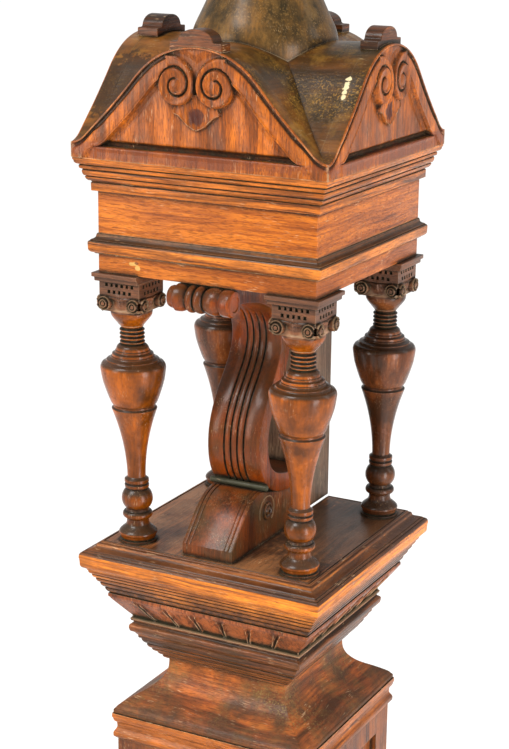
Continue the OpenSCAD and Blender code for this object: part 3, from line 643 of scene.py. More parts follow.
def gable_board(side, name):
    """One carved gable board. Its net follows the ogee edge and the sunk panel's edge, so that both stay
    crisp; the roof skin covers its top."""
    foot = low(name)
    pitch = sizes().relief_pitch / MM
    fine = np.linspace(-50, 50, int(100 / (pitch * 0.62)))
    wing = np.linspace(50, 149.8, int(100 / (pitch * 1.3)))[1:]
    xs = np.concatenate([-wing[::-1], fine, wing])
    top = gable_top(xs)
    panel = ogee_height(xs, CROWN - BORDER, 74, 28, PANEL_HALF) - 5.2 * step(np.abs(xs), 94, 154)
    inner = np.where(np.abs(xs) < PANEL_HALF, panel, RAIL)
    inner = np.minimum(np.maximum(inner, RAIL), top * 0.85)
    base = np.minimum(RAIL, inner * 0.98)
    # Rows of the net as shares of the border, the panel and the lower rail, close together at each nick.
    edge_rows = np.array([0, 0.5, 0.9, 1.5, 2.0, 2.4, 2.8, 3.3, 4.2, 5.2, 5.8, 6.5, 7.1, 7.8, 9, 10.2, 11.4, 12.6, 13.8,
                          15, 16.2, 17.4, 18.6, 19.6, 20.1, 20.6, 21.2, 21.7, 22.0]) / BORDER
    depth_rows = np.concatenate([[0.0, 0.5, 0.9, 1.2, 1.8, 2.6, 3.6, 4.8, 6.4], np.linspace(7.4, 81.5, 88),
                                 [83, 84.2, 85.2, 85.8, 86.3, 86.5]]) / 86.5
    rail_rows = np.array([0, 0.4, 0.8, 1.6, 2.4, 3.2, 6, 9, 12, 13.5]) / RAIL
    verts = []
    for i, x in enumerate(xs):
        z = np.concatenate([top[i] - edge_rows * (top[i] - inner[i]), inner[i] - depth_rows[1:] * (inner[i] - base[i]),
                            base[i] * (1 - rail_rows[1:])])
        slope = min(1.0, BORDER / max(top[i] - inner[i], 1e-3))
        in_panel = (abs(x) < PANEL_HALF) & (z > RAIL - 1e-6)
        sunk = np.where(in_panel, (inner[i] - z) * max(0.62, slope), 0)
        y = -FACE - gable_relief(np.full(z.shape, x), z, (top[i] - z) * slope, sunk)
        near = float(step(np.array(abs(x)), 144.5, 149.8))
        y = y * (1 - near) - 149.6 * near
        back = -max(132.0, min(abs(x), 149.0))
        verts += [(x, y[j], z[j] + foot) for j in range(len(z))]
        verts += [(x, back, foot), (x, back, top[i] + foot)]
    cols, rows = len(xs), len(verts) // len(xs)
    faces = grid_faces(cols, rows)
    faces += [tuple(range(rows)), tuple(range(cols * rows - 1, (cols - 1) * rows - 1, -1))]
    obj = build(name + "_carved", turned_to(verts, side), faces, "gable", "oak_gable", name, 46)
    obj.data.materials.append(finishes()["roof"])
    for poly in obj.data.polygons:
        out = max(abs(poly.center.x), abs(poly.center.y)) / MM
        if poly.normal.z > 0.2 and out < 149.2 and poly.area > 4e-6:
            poly.material_index = 1


class NEWEL_OT_gables(bpy.types.Operator):
    """Carves the four gable boards with their paired scrolls"""
    bl_idname = "newel.gables"
    bl_label = "Gable boards"

    def execute(self, context):
        for side, name in enumerate(SIDES):
            gable_board(side, "pediment_" + name)
        return {"FINISHED"}


class NEWEL_OT_crests(bpy.types.Operator):
    """Sets a stepped crest block with a half round on each gable"""
    bl_idname = "newel.crests"
    bl_label = "Crest blocks"

    def execute(self, context):
        foot, w = low("pediment_front"), 29.6
        outline = [(x, float(gable_top(np.array(x)) - 0.6)) for x in np.linspace(-w, w, 15)]
        outline += [(w, 126.2), (21.5, 126.4), (20, 127.6)]
        outline += [(19.7 * math.cos(a), 127.5 + 12.0 * math.sin(a)) for a in np.linspace(0.08, math.pi - 0.08, 22)]
        outline += [(-20, 127.6), (-21.5, 126.4), (-w, 126.2)]
        outline = soften([(x, z + foot) for x, z in outline], 1.2, closed=True)
        for side, name in enumerate(SIDES):
            lo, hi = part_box("crest_" + name)
            axis = (1, 0)[side % 2]
            front = -max(abs(lo[axis]), abs(hi[axis])) / MM
            deep = (hi[axis] - lo[axis]) / MM
            verts, faces = slab(outline, front + 0.3, front + deep - 0.2)
            obj = build("crest_" + name + "_block", turned_to(verts, side), faces, "crest", "oak_dark",
                        "crest_" + name, 40)
            ease(obj, 1.1, 3, 50)
        return {"FINISHED"}


class NEWEL_OT_roof(bpy.types.Operator):
    """Lays the cross-vaulted roof between the gables"""
    bl_idname = "newel.roof"
    bl_label = "Vaulted roof"

    def execute(self, context):
        foot = low("roof")
        half, n = 132.0, 177
        xs = np.linspace(-half, half, n)
        gx, gy = np.meshgrid(xs, xs, indexing="ij")
        gz = np.maximum(gable_top(gx), gable_top(gy)) - 0.25
        # The vaults are a little uneven, as laid by hand.
        rng = np.random.default_rng(7)
        sway = sum(rng.normal() * 0.16 * np.sin(gx * rng.uniform(0.03, 0.12) + gy * rng.uniform(-0.12, 0.12) +
                                               rng.uniform(0, 6)) for _ in range(10))
        inner = step(half - np.maximum(np.abs(gx), np.abs(gy)), 0, 12)
        gz = gz + (sway - 0.5) * inner
        verts = [(gx[i, j], gy[i, j], gz[i, j] + foot) for i in range(n) for j in range(n)]
        faces = []
        for i in range(n - 1):
            for j in range(n - 1):
                a, b, c, d = i * n + j, (i + 1) * n + j, (i + 1) * n + j + 1, i * n + j + 1
                if i == j:
                    faces += [(a, b, c), (a, c, d)]
                elif i + j == n - 2:
                    faces += [(a, b, d), (b, c, d)]
                else:
                    faces.append((a, b, c, d))
        rim = [i * n for i in range(n)] + [(n - 1) * n + j for j in range(1, n)]
        rim += [i * n + n - 1 for i in range(n - 2, -1, -1)] + [j for j in range(n - 2, 0, -1)]
        base, m = len(verts), len(rim)
        verts += [(verts[k][0], verts[k][1], foot + 1.0) for k in rim]
        faces += [(rim[k], rim[(k + 1) % m], base + (k + 1) % m, base + k) for k in range(m)]
        faces.append(tuple(range(base, base + m)))
        build("roof_vaults", verts, faces, "roof", "oak_roof", "roof", 24)
        return {"FINISHED"}


class NEWEL_OT_finial(bpy.types.Operator):
    """Turns the bell that rises from the roof and the knob on its neck"""
    bl_idname = "newel.finial"
    bl_label = "Finial"

    def execute(self, context):
        foot = low("pediment_front")
        widest, z0, z1 = 79, 84, 206
        key = [(z0, widest), (112, widest), (120, 78.6), (127, 77.2), (134, 74.8), (147, 68.2), (159, 62.6),
               (172, 56.6), (188, 49), (198, 44.2), (z1, 40)]
        zs = np.linspace(z0, z1, 62)
        rs = smoothed(np.interp(zs, *zip(*key)), 7)
        bell = [(0, z0)] + [(float(min(r, widest)), float(z)) for r, z in zip(rs, zs)] + [(0, z1)]
        verts, faces = lathe([(r, z + foot) for r, z in soften(bell, 2)], 120)
        build("finial_bell_turned", verts, faces, "bell", "oak_roof", "finial_bell", 40)
        ball = 37.0
        knob = [(0, 0), (40, 0)] + level((40, 0), (43, 4)) + upright((43, 4), (40, 8)) + [(34, 8)]
        knob += double((33, 9), (20, 24), 12) + [(20, 27)] + level((20, 27), (24, 30)) + upright((24, 30), (20, 33))
        knob += [(ball * math.cos(a), 33 + ball * 0.866 + ball * math.sin(a))
                 for a in np.radians(np.linspace(-58, 82, 30))]
        knob += [(5, 33.6 + ball * 1.866), (0, 33.8 + ball * 1.866)]
        verts, faces = lathe([(r, z + low("finial_knob")) for r, z in soften(knob, 0.8)], 96)
        build("finial_knob_turned", verts, faces, "crest", "oak_dark", "finial_knob", 40)
        return {"FINISHED"}


class NEWEL_OT_canopy(bpy.types.Operator):
    """Runs the canopy's cornice and belt round its box"""
    bl_idname = "newel.canopy"
    bl_label = "Canopy box"

    def execute(self, context):
        b = BOX_FACE
        cornice = [(b, 0), (b + 5.2, 0.4), (b + 5.4, 9.0), (b + 4.4, 9.8), (b + 5.2, 10.6)]
        cornice += reeds([(136.4, 11.0), (140.0, 16.4), (141.9, 22.8)], 0.9, 1.2)
        cornice += [(141.2, 23.6), (143.4, 24.6), (144.3, 25.2), (144.5, 28.0), (143.4, 28.8)]
        cornice += level((144.6, 29.4), (148.4, 33.4), 6) + [(148.8, 34.2), (149.3, 34.8), (149.4, 37)]
        run("cornice_run", cornice, "mould", "oak_case", "cornice", 110)
        belt = [(b + 0.05, 0), (b + 0.8, 0.2), (b + 3.4, 0.6), (b + 3.0, 1.6)]
        belt += level((b + 4.2, 1.9), (b + 8.3, 6.2), 6) + upright((b + 8.4, 7), (b + 8.6, 10.6), 3)
        belt += [(b + 8.5, 13.2), (b + 7.6, 14.6), (b + 6.2, 14.4), (b + 6.6, 15.6)]
        belt += level((b + 5.8, 16.4), (b + 1.8, 20.0), 5) + [(b + 1.2, 22.0), (b + 0.05, 22.5)]
        run("belt_run", belt, "belt", "oak_case", "belt_moulding", b - 4)
        tall = high("canopy_box") - low("canopy_box")
        box = [(b - 0.4, 0), (b, 0.4), (b, 30), (b, 60), (b, tall)]
        run("canopy_box_boards", box, "case", "oak_case", "canopy_box", radius=0, sharp=40, seg=2)
        return {"FINISHED"}


def capital_face(half):
    """Net over one face of a capital: pierced rows, a small scroll at each lower corner, a leaf between."""
    cols, rows = 84, 60
    gx, gz = np.meshgrid(np.linspace(-half, half, cols), np.linspace(-43, -8.6, rows), indexing="ij")
    out = np.zeros_like(gx)
    for holes, z in ((6, -13.0), (5, -20.6)):
        for k in range(holes):
            x = (k - (holes - 1) / 2) * 6.4
            out -= 4.0 * step(1.55 - np.abs(gx - x), 0, 0.5) * step(1.9 - np.abs(gz - z), 0, 0.5)
    out -= 0.8 * np.exp(-((gz + 26.0) / 0.8) ** 2)
    out -= 3.2 * step(-gz, 27.0, 31.5)
    for s in (-1, 1):
        rho = np.hypot(gx - s * (half - 6.6), gz + 33.5)
        button = 3.2 + 1.9 * np.sin(np.clip(rho, 0, 7.6) * 2 * math.pi / 3.9 + 1.4) * (rho > 2.4) + 1.2 * (rho <= 2.4)
        inside = 1 - step(rho, 7.2, 8.2)
        out = out * (1 - inside) + button * inside
    mid = np.exp(-(gx / 4.6) ** 2 - ((gz + 31.5) / 5.0) ** 2)
    out = np.where(np.abs(gx) < 9, out + 4.0 * mid + 0.8 * mid * np.cos(gx * 1.6), out)
    verts = [(gx[i, j], -half - out[i, j], gz[i, j]) for i in range(cols) for j in range(rows)]
    return verts, grid_faces(cols, rows, wrap=False)


def capital(half, missing):
    """A capital: four carved faces on a core, the abacus in two steps and the bell under them. A capital may
    have lost the abacus strip on its +X side, and is then missing it."""
    verts, faces = capital_face(half)
    parts = [(turned_to(verts, k), faces) for k in range(4)]
    parts.append(square_run([(half - 9, -43), (half - 4.5, -42.9), (half - 4.5, -24), (half - 4.5, -9)], None, 1.0))
    abacus = [(half - 1, -9.2), (half + 4, -9.2), (half + 4.2, -5.2), (half + 4.6, -4.9), (half + 6.3, -4.6),
              (half + 6.4, -0.3), (half + 5, 0)]
    verts, faces = square_run(soften(abacus, 0.4), None, 0.9)
    if missing:
        verts = [(min(x, half + 0.1), y, z) for x, y, z in verts]
    parts.append((verts, faces))
    bell = [(0, -60.2), (13.4, -60.2), (14.6, -59), (17.4, -55.4), (18.2, -54.6), (21.4, -50.4), (22.6, -48.0),
            (23.0, -45), (22.6, -41), (0, -41)]
    parts.append(lathe(soften(bell, 0.7), 56))
    return join(*parts)


def baluster_profile(g):
    """The turned part of a baluster, from its foot up, for a clear height g, in mm: a bell foot, a ring, a
    ball, two rings, a slender stem, a lipped groove, an urn with a stepped shoulder and a ringed neck. t is
    the height of the neck's top and v the urn's greatest radius."""
    t, v = g - 56, 36.0
    p = [(0, 3), (18.6, 3), (19.8, 4.4)] + upright((20.0, 4.6), (21.6, 9.0), 5) + double((21.6, 9.6), (12.8, 20.5), 12)
    p += [(12.4, 21.4), (12.4, 25.4), (13.0, 26.4)] + level((13.2, 26.8), (16.8, 30.4), 6)
    p += upright((16.8, 30.6), (13.4, 34.6), 6)
    p += [(5.4 + 12 * math.cos(q), 49 + 14 * math.sin(q)) for q in np.radians(np.linspace(-56, 58, 18))]
    p += [(11.9, 61.4), (13.5, 62.4), (13.7, 65.4), (12.0, 66.6), (12.0, 67.2), (13.7, 68.4), (13.5, 71.8),
          (11.2, 73.4), (10.2, 74.6)]
    p += [(10.2 + 13.2 * q * q + 1.2 * q, 76 + (t - 176) * q) for q in np.linspace(0.05, 1, 20)]
    p += [(25.0, t - 99.0), (25.1, t - 98.0), (23.2, t - 96.4), (22.8, t - 94.6), (23.6, t - 93.4)]
    p += [(v - r, t - z) for r, z in ((11.8, 93), (10, 90), (7.7, 84), (5.6, 78), (3.7, 72), (2.1, 66.5), (1.1, 61),
                                      (0.4, 56), (0, 52.5), (0.1, 50.5), (0.8, 48.4), (2.2, 46.4))]
    p += [(v - 3.4, t - 45.9), (v - 4.2, t - 45.6)] + level((v - 4.8, t - 45.0), (v - 7.2, t - 42.4), 4)
    p += [(v - 8.8, t - 42.0)] + level((v - 9.2, t - 41.6), (v - 12.2, t - 38.9), 4)
    p += [(v - 13.1, t - 38.7), (v - 13.3, t - 35.9), (v - 15.2, t - 35.3), (v - 16.4, t - 34.7), (v - 16.8, t - 32.6),
          (v - 17.8, t - 32.2)]
    p += upright((v - 17.9, t - 31.8), (12.2, t - 25.6), 8)
    for i in range(4):
        z = t - 24.8 + 4.5 * i
        p += [(10.9, z), (13.4, z + 0.7), (14.0, z + 1.7), (13.4, z + 2.7), (10.9, z + 3.4)]
    p += [(12.0, t - 6.4), (12.7, t - 5.6), (13.0, t - 4.2)]
    return p


class NEWEL_OT_balusters(bpy.types.Operator):
    """Turns the four vase balusters and carves their capitals"""
    bl_idname = "newel.balusters"
    bl_label = "Balusters"

    def execute(self, context):
        deck, head = high("platform"), low("canopy_box")
        g, apart, half = head - deck, 104.5, 25.0
        profile = soften(baluster_profile(g), 0.35)
        shape = lathe(profile + [(0, profile[-1][1])], 72)
        pad = lathe([(0, 0), (21.2, 0), (21.4, 0.6), (21.2, 2.4), (20.2, 3.0), (0, 3.05)], 56)
        for name, sx, sy in (("front_left", -1, -1), ("front_right", 1, -1), ("back_right", 1, 1),
                             ("back_left", -1, 1)):
            lean = sizes().lean / MM if name == "front_left" else 0.0
            leaning = [(x - sx * lean * (1 - z / (g - 48)), y, z) for x, y, z in shape[0]]
            top = capital(half, name == "front_left")
            verts, faces = join((leaning, shape[1]), (moved(pad[0], (-sx * lean, 0, 0)), pad[1]),
                                (moved(top[0], (0, 0, g)), top[1]))
            node = "baluster_" + name
            obj = build(node + "_turned", moved(verts, (sx * apart, sy * apart, deck)), faces,
                        # The back balusters take the copy of the turned finish darkened as painted shade.
                        "shaded" if name.startswith("back") else "turned", "oak_turned", node, 38)
            obj.data.materials.append(finishes()["capital"])
            for poly in obj.data.polygons:
                z = poly.center.z / MM - head
                if z > -40.5 or (z > -44.5 and abs(poly.normal.z) < 0.7):
                    poly.material_index = 1
        return {"FINISHED"}


ROLL_Y = -132.0


def scroll_path(deck, head, n=26):
    """The scroll's middle line in Y and Z, from the back of the roll round to the post."""
    b = deck + 56
    one = bezier((ROLL_Y + 6, head - 10.7), (ROLL_Y + 62, head - 10.7), (-4, head - 26), (0, head - 78), n)
    two = bezier((0, head - 78), (4, head - 122), (-52, head - 142), (-52, b + 58), n)[1:]
    three = bezier((-52, b + 58), (-52, b + 12), (-20, b), (45, b), n)[1:]
    return np.array(one + two + three)


class NEWEL_OT_scroll(bpy.types.Operator):
    """Carves the grooved scroll with its turned roll, the wedge foot and the bead in the crease"""
    bl_idname = "newel.scroll"
    bl_label = "Scroll bracket"

    def execute(self, context):
        deck, head = high("platform"), low("canopy_box")
        path = scroll_path(deck, head)
        along = np.gradient(path, axis=0)
        along /= np.linalg.norm(along, axis=1)[:, None]
        out = np.stack([-along[:, 1], along[:, 0]], axis=1)
        half_foot, half_head, thick = 33.5, 30.5, 10.5
        # Across the front: a plain margin, four grooves with round reeds between, a plain margin.
        across = [(-1, 0.0), (-0.985, 0.6), (-0.96, 1.0)]
        for k in (-1.5, -0.5, 0.5, 1.5):
            c, w = k * 8.3 / half_foot, 1.15 / half_foot
            across += [(c + w * a, d) for a, d in ((-2.4, 1.0), (-1.1, 0.82), (-0.4, 0.0), (0.4, 0.0), (1.1, 0.82),
                                                   (2.4, 1.0))]
        across += [(0.96, 1.0), (0.985, 0.6), (1, 0.0)]
        verts = []
        for (y, z), (ny, nz) in zip(path, out):
            half = np.interp(z, [deck, deck + 60, head], [half_foot, half_foot, half_head])
            cut = float(step(np.array(head - z), 34, 62))
            ring = [(a, -(thick - (1 - d) * (2.4 * cut if abs(a) < 0.9 else 1.3))) for a, d in across]
            ring += [(1, 9.6), (0.97, thick), (-0.97, thick), (-1, 9.6)]
            verts += [(a * half, y + ny * q, z + nz * q) for a, q in ring]
        faces = tube_faces(len(path), len(across) + 4)
        r = 15.0
        roll = [(0, 0), (r - 4, 0)] + upright((r - 3, 0.2), (r, 9), 6) + [(r - 0.4, 15), (r - 2, 19), (r - 4.6, 21.6)]
        roll += level((r - 4.6, 22.4), (r - 0.3, 26.6), 6) + upright((r - 0.3, 27), (r - 4.4, 31.2), 6)
        roll += level((r - 4.4, 32), (r - 0.3, 36.6), 6) + upright((r - 0.3, 37), (r - 4.4, 42.4), 6)
        roll += [(r - 2.4, 44.5), (r - 0.6, 49), (r, 54), (r - 1, 59), (r - 2.6, 61.8), (r - 1.4, 63), (r - 0.6, 65),
                 (r - 0.4, 74), (r - 1.6, 75.8), (r - 6, 76), (r - 7, 75.2), (0, 75)]
        roll = lathe(soften(roll, 0.4), 56)
        rolled = [(z - 38, ROLL_Y + y, head - 15.2 - x) for x, y, z in roll[0]]
        verts, faces = join((verts, faces), (rolled, roll[1]))
        build("scroll_carved", verts, faces, "carved", "oak_carved", "scroll_console", 40)
        # The foot: a wedge that swells to the crease, beaded along its edges, with a scroll's eye on each cheek.
        toe, wide = -121.0, 31.0
        line = [(toe, deck), (toe - 0.01, deck + 13.2), (toe + 1.2, deck + 14.6), (toe + 14, deck + 28)]
        line += [tuple(q) for q in bezier((toe + 27, deck + 42), (toe + 40, deck + 55), (toe + 51, deck + 62),
                                          (toe + 70, deck + 62), 14)]
        under = [(y + a * -10.4, z + b * -10.4) for (y, z), (a, b) in zip(path, out) if z < deck + 62]
        line += [(toe + 76, deck + 59.5)] + [q for q in under if q[0] > toe + 80][::2] + [(45, deck + 45)]
        half_strip = [(0.64, 0.7), (0.68, 0.1), (0.7, 0.9), (0.8, 0.9), (0.84, 0.0), (0.86, 0.8), (0.95, 0.8), (1, 0)]
        strip = [(-a, d) for a, d in half_strip[::-1]] + half_strip
        verts = []
        for y, z in line:
            verts += [(a * wide, y, z + d - 0.8) for a, d in strip]
            verts += [(wide, y, deck), (-wide, y, deck)]
        parts = [(verts, tube_faces(len(line), len(strip) + 2))]
        eye_y, eye_z = -40, deck + 36
        dome = lathe([(0, 0), (10.2, 0), (10.2, 1.6), (9.4, 2.9), (7.6, 3.2), (6.6, 2.2), (5.6, 1.4), (5.0, 2.2),
                      (3.6, 3.6), (1.9, 3.9), (1.5, 2.4), (0, 2.3)], 40)
        turns = np.linspace(0, 1, 28)
        for side in (-1, 1):
            parts.append(([(side * (z + 30.4), eye_y + y, eye_z + x) for x, y, z in dome[0]], dome[1]))
            ring = []
            for q in turns:
                reach, a = 17.5 - 1.2 * q, math.radians(200 - 250 * q)
                y, z = eye_y + reach * math.cos(a), eye_z + reach * math.sin(a)
                for w in np.radians(np.arange(0, 360, 60)):
                    k = 1.1 * math.cos(w)
                    ring.append((side * (wide + 0.9 * math.sin(w)), y + k * math.cos(a), z + k * math.sin(a)))
            parts.append((ring, tube_faces(len(turns), 6)))
        build("scroll_foot_carved", *join(*parts), "foot", "oak_carved", "scroll_foot", 40)
        # The bead in the crease.
        lo, hi = (np.array(corner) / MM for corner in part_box("scroll_rod"))
        x, y, z = (lo + hi) / 2
        length, rad = hi[0] - lo[0], (hi[2] - lo[2]) / 2
        verts, faces = lathe([(0, 0), (rad - 1.2, 0), (rad - 0.3, 0.8), (rad, 2), (rad - 0.2, length / 2),
                              (rad, length - 2), (rad - 0.3, length - 0.8), (rad - 1.2, length), (0, length)], 24)
        build("scroll_bead", [(c - length / 2, y + b, z - a) for a, b, c in verts], faces, "bead", "oak_bead",
              "scroll_rod", 50)
        return {"FINISHED"}


class NEWEL_OT_platform(bpy.types.Operator):
    """Runs the reeded edge round the platform and notches the deck behind the post"""
    bl_idname = "newel.platform"
    bl_label = "Platform"

    def execute(self, context):
        a, d, top = 149.5, 129.0, high("platform") - low("platform")
        edge = [(123.5, 0), (123.9, 0.4)]
        edge += reeds([(124.4, 1.0), (128.4, 8.0), (132.4, 14.6), (135.8, 20.4), (138.9, 25.4), (141.8, 30.0)],
                      1.1, 1.9)
        edge += [(142.6, 30.4), (143.4, 32.2), (144.6, 33.0)]
        edge += level((145.0, 33.6), (148.6, 38.4), 6) + upright((148.7, 39.4), (a, 46.0), 4)
        edge += [(a - 0.3, 49.6), (a - 1.4, 51.6), (a - 2.6, 52.4), (a - 3.6, 51.6), (a - 4.4, 53.4), (a - 5.4, 54.2),
                 (a - 6.2, 53.3), (a - 7.2, 55.0)]
        edge += level((a - 7.8, 55.4), (a - 15.0, 60.2), 6)
        edge += [(a - 15.6, 61.6), (d + 3.4, 62.0), (d + 2.6, 62.2), (d + 2.2, 63.4), (d + 1.2, top), (d, top - 0.1),
                 (d - 0.6, top - 1.1), (d - 1.4, top - 1.1), (d - 2.0, top)]
        obj = run("platform_run", edge, "edge", "oak_platform", "platform", radius=0.25)
        obj.data.materials.append(finishes()["deck"])
        top = high("platform")
        for poly in obj.data.polygons:
            if poly.center.z > (top - 0.9) * MM and poly.normal.z > 0.9:
                poly.material_index = 1
        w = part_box("centre_post")[1][0] / MM + 3.5
        cut_box(obj, (-w, 70, top - 30), (w, 200, top + 5))
        return {"FINISHED"}


class NEWEL_OT_neck(bpy.types.Operator):
    """Carves the leaf band and runs the bed mouldings, the skirt and the shaft's head moulding"""
    bl_idname = "newel.neck"
    bl_label = "Neck and skirt"

    def execute(self, context):
        leaves = sizes().leaves
        key = [(0, 108), (1.6, 106.4), (3.6, 105.8), (8.4, 109.6), (16.9, 116.0), (25.4, 122.4), (27.6, 123.8),
               (29.0, 124.7)]
        carved = np.linspace(0, 29, 30)
        band = list(zip(np.interp(carved, *zip(*key)), carved))
        band += [(124.9, 29.6), (125.8, 30.2), (126, 31), (126, 32), (125.9, 33), (125.6, 34)]

        def leaf(along, i, half):
            """Leaves side by side: a dart up each joint, a lip beside it and a hollow belly."""
            if i >= len(band) or not 1.5 < band[i][1] < 29.2:
                return 0.0
            v = band[i][1] / 29
            pitch = 2 * half / leaves
            u = abs((along / pitch + leaves / 2 + 0.5) % 1.0 - 0.5) * pitch
            if abs(along) > half - pitch * 0.5 and u < pitch * 0.4:
                u = pitch * 0.5
            lip = 1.7 + 2.6 * v * v
            dart = 3.0 * math.exp(-((u - lip) / 0.95) ** 2) - 1.0 * math.exp(-(u / 0.8) ** 2)
            belly = 1.6 * math.sin(math.pi * min(1.0, max(0.0, (u - lip) / (pitch - 2 * lip)))) - 1.6
            foot = -1.8 * math.exp(-((v - 0.05) / 0.09) ** 2) * (u > lip)
            return dart * min(1.0, v * 6) * min(1, (1 - v) * 12) + belly * math.sin(math.pi * v) ** 0.6 + foot

        run("leaf_band_carved", band, "leaf", "oak_moulding", "leaf_band", 40, radius=0, sharp=50, seg=196, relief=leaf)
        bed = [(75.5, 0), (78.7, 0)]
        bed += reeds([(78.8, 0.6), (80.8, 4.6), (85.6, 9.4), (90.4, 14.4), (94.4, 21.0), (98.8, 28.0)], 1.2, 1.7)
        bed += [(99.6, 28.6), (101.4, 29.2), (101.6, 32.2), (102.2, 33.2), (104.2, 35.8), (105.4, 37.2)]
        bed += level((105.8, 37.6), (108.8, 40.6), 4) + upright((109.2, 41.0), (109.3, 44.8), 4)
        bed += [(108.4, 46.4), (106.2, 48.0), (105.0, 49.4), (105.4, 50.6), (107.4, 51.8)]
        bed += [(108.0, high("bed_moulding") - low("bed_moulding"))]
        run("bed_run", bed, "bed", "oak_moulding", "bed_moulding", 40, radius=0.4)
        key = [(6, 121.4), (8, 120.8), (11, 116.5), (17, 108), (23.2, 97.6), (27.2, 91.2), (31.4, 86.6), (35.5, 82.8),
               (41.3, 78.8), (48.5, 76.2), (55, 75.6), (62, 75.5)]
        zs = np.linspace(6, 62, 40)
        skirt = [(122, 0), (122.6, 1), (122.6, 4.4), (121.8, 5.6)]
        skirt += list(zip(smoothed(np.interp(zs, *zip(*key)), 5), zs))
        run("skirt_swept", skirt, "skirt", "oak_moulding", "skirt", 50, radius=0.5, seg=2)
        a, top = 124.0, high("shaft_cap_moulding") - low("shaft_cap_moulding")
        cap = [(118.5, 0), (a - 2, 3.4), (a - 1.2, 4.2), (a - 1, 7)] + double((a - 1, 7.4), (a - 4.5, 16), 8)
        cap += [(a - 4.2, 21)] + level((a - 4, 22), (a - 1, 27), 6) + [(a - 0.3, 28), (a, 29), (a - 0.2, top)]
        run("shaft_head_run", cap, "cap", "oak_moulding", "shaft_cap_moulding", 60, radius=0.5)
        return {"FINISHED"}


class NEWEL_OT_shaft(bpy.types.Operator):
    """Finishes the framed shaft, its base and the plain post behind the scroll"""
    bl_idname = "newel.shaft"
    bl_label = "Shaft and plinth"

    def execute(self, context):
        plain = {"shaft_frame": "shaft", "plinth": "shaft", "base_moulding": "mould", "centre_post": "post"}
        plain.update({"shaft_panel_" + side: "shaft" for side in SIDES})
        for node, finish in plain.items():
            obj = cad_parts[node]
            obj.data.materials.clear()
            obj.data.materials.append(finishes()[finish])
            if "panel" not in node:
                ease(obj, 1.2, 2, 30)
        return {"FINISHED"}


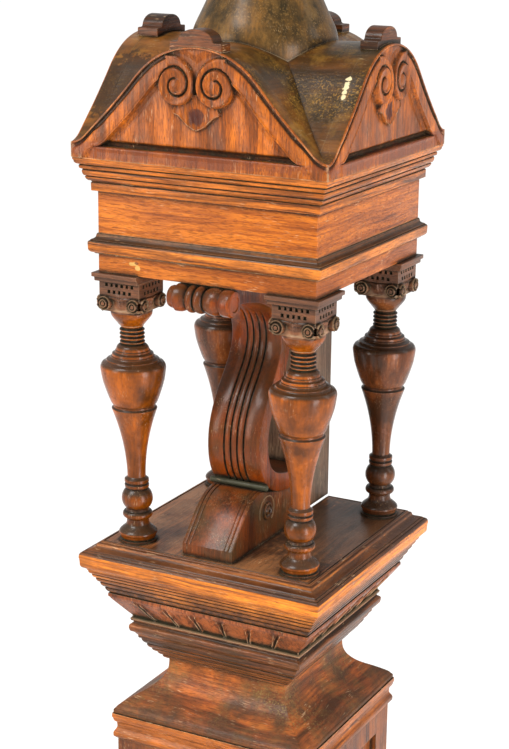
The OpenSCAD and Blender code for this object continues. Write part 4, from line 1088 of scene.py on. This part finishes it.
class NEWEL_OT_studio(bpy.types.Operator):
    """Sets the floor, the soft lights and the camera"""
    bl_idname = "newel.studio"
    bl_label = "Studio"

    def execute(self, context):
        scene = context.scene
        mesh = bpy.data.meshes.new("floor")
        reach = 60
        mesh.from_pydata([(-reach, -reach, 0), (reach, -reach, 0), (reach, reach, 0), (-reach, reach, 0)], [],
                         [(0, 1, 2, 3)])
        floor = bpy.data.objects.new("floor", mesh)
        scene.collection.objects.link(floor)
        # Matt white paper: pale and without gloss.
        paper = bpy.data.materials.new("white paper")
        paper.use_nodes = True
        sheet = paper.node_tree.nodes["Principled BSDF"].inputs
        sheet["Base Color"].default_value = linear("#FBFBFA")
        sheet["Roughness"].default_value = 0.9
        mesh.materials.append(paper)
        world = bpy.data.worlds.new("studio")
        world.use_nodes = True
        sky = world.node_tree.nodes["Background"].inputs
        sky["Color"].default_value, sky["Strength"].default_value = (1, 1, 1, 1), 0.55
        scene.world = world
        scene.view_settings.view_transform = "Standard"
        foot = low("pediment_front") * MM

        def place(name, data, spot, back):
            """Puts a lamp at a spot so that it looks away from back."""
            obj = bpy.data.objects.new(name, data)
            obj.location = spot
            obj.rotation_mode = "QUATERNION"
            obj.rotation_quaternion = back.to_track_quat("Z", "Y")
            scene.collection.objects.link(obj)

        sun = bpy.data.lights.new("sky window", "SUN")
        sun.energy, sun.angle = 2.3, math.radians(26)
        place("sky window", sun, (0, 0, 0), Vector((-0.5, -0.85, 1.25)))
        warm, white = (1.0, 0.93, 0.82), (1.0, 1.0, 1.0)
        for name, spot, aim, size, power, colour in (
                ("key", (-1.35, -1.9, 0.35), -0.3, (0.7, 1.6), 26, warm),
                ("side", (1.9, -0.7, -0.45), -0.6, (0.6, 1.6), 32, white),
                ("edge", (1.9, 0.9, 0.5), -0.3, (0.5, 1.6), 7, white)):
            light = bpy.data.lights.new(name, "AREA")
            light.shape, light.size, light.size_y, light.energy, light.color = "RECTANGLE", *size, power, colour
            spot = Vector((*spot[:2], spot[2] + foot))
            place(name, light, spot, spot - Vector((0, 0, foot + aim)))
        # The camera looks at the axis a little under the gables, from the front right and above.
        cam = bpy.data.cameras.new("camera")
        cam.sensor_fit, cam.sensor_width, cam.lens, cam.shift_x = "AUTO", 36.0, 85.44, -0.0081
        obj = bpy.data.objects.new("camera", cam)
        round_to, lift, away, roll = math.radians(27.5616), math.radians(15.8478), 1.99611, math.radians(0.737)
        back = Vector((math.sin(round_to) * math.cos(lift), -math.cos(round_to) * math.cos(lift), math.sin(lift)))
        obj.location = Vector((0, 0, foot - 0.253104)) + back * away
        obj.rotation_euler = (back.to_track_quat("Z", "Y").to_matrix() @ Matrix.Rotation(roll, 3, "Z")).to_euler()
        scene.collection.objects.link(obj)
        scene.camera = obj
        return {"FINISHED"}


OPERATORS = (NEWEL_OT_gables, NEWEL_OT_crests, NEWEL_OT_roof, NEWEL_OT_finial, NEWEL_OT_canopy, NEWEL_OT_balusters,
             NEWEL_OT_scroll, NEWEL_OT_platform, NEWEL_OT_neck, NEWEL_OT_shaft, NEWEL_OT_studio)


class NEWEL_PT_panel(bpy.types.Panel):
    """Sizes, colours and the steps that build the post"""
    bl_idname = "NEWEL_PT_panel"
    bl_label = "Oak newel post"
    bl_space_type = "VIEW_3D"
    bl_region_type = "UI"
    bl_category = "Newel"

    def draw(self, context):
        col = self.layout.column()
        for group in (context.scene.newel_sizes, context.scene.newel_colours):
            for key in group.__annotations__:
                col.prop(group, key)
        for op in OPERATORS:
            col.operator(op.bl_idname)


CLASSES = (Colours, Sizes, *OPERATORS, NEWEL_PT_panel)


def register():
    for cls in CLASSES:
        bpy.utils.register_class(cls)
    bpy.types.Scene.newel_colours = PointerProperty(type=Colours)
    bpy.types.Scene.newel_sizes = PointerProperty(type=Sizes)


def unregister():
    del bpy.types.Scene.newel_sizes
    del bpy.types.Scene.newel_colours
    for cls in reversed(CLASSES):
        bpy.utils.unregister_class(cls)


def main():
    register()
    for op in OPERATORS:
        group, name = op.bl_idname.split(".")
        getattr(getattr(bpy.ops, group), name)()


if __name__ == "__main__":
    main()
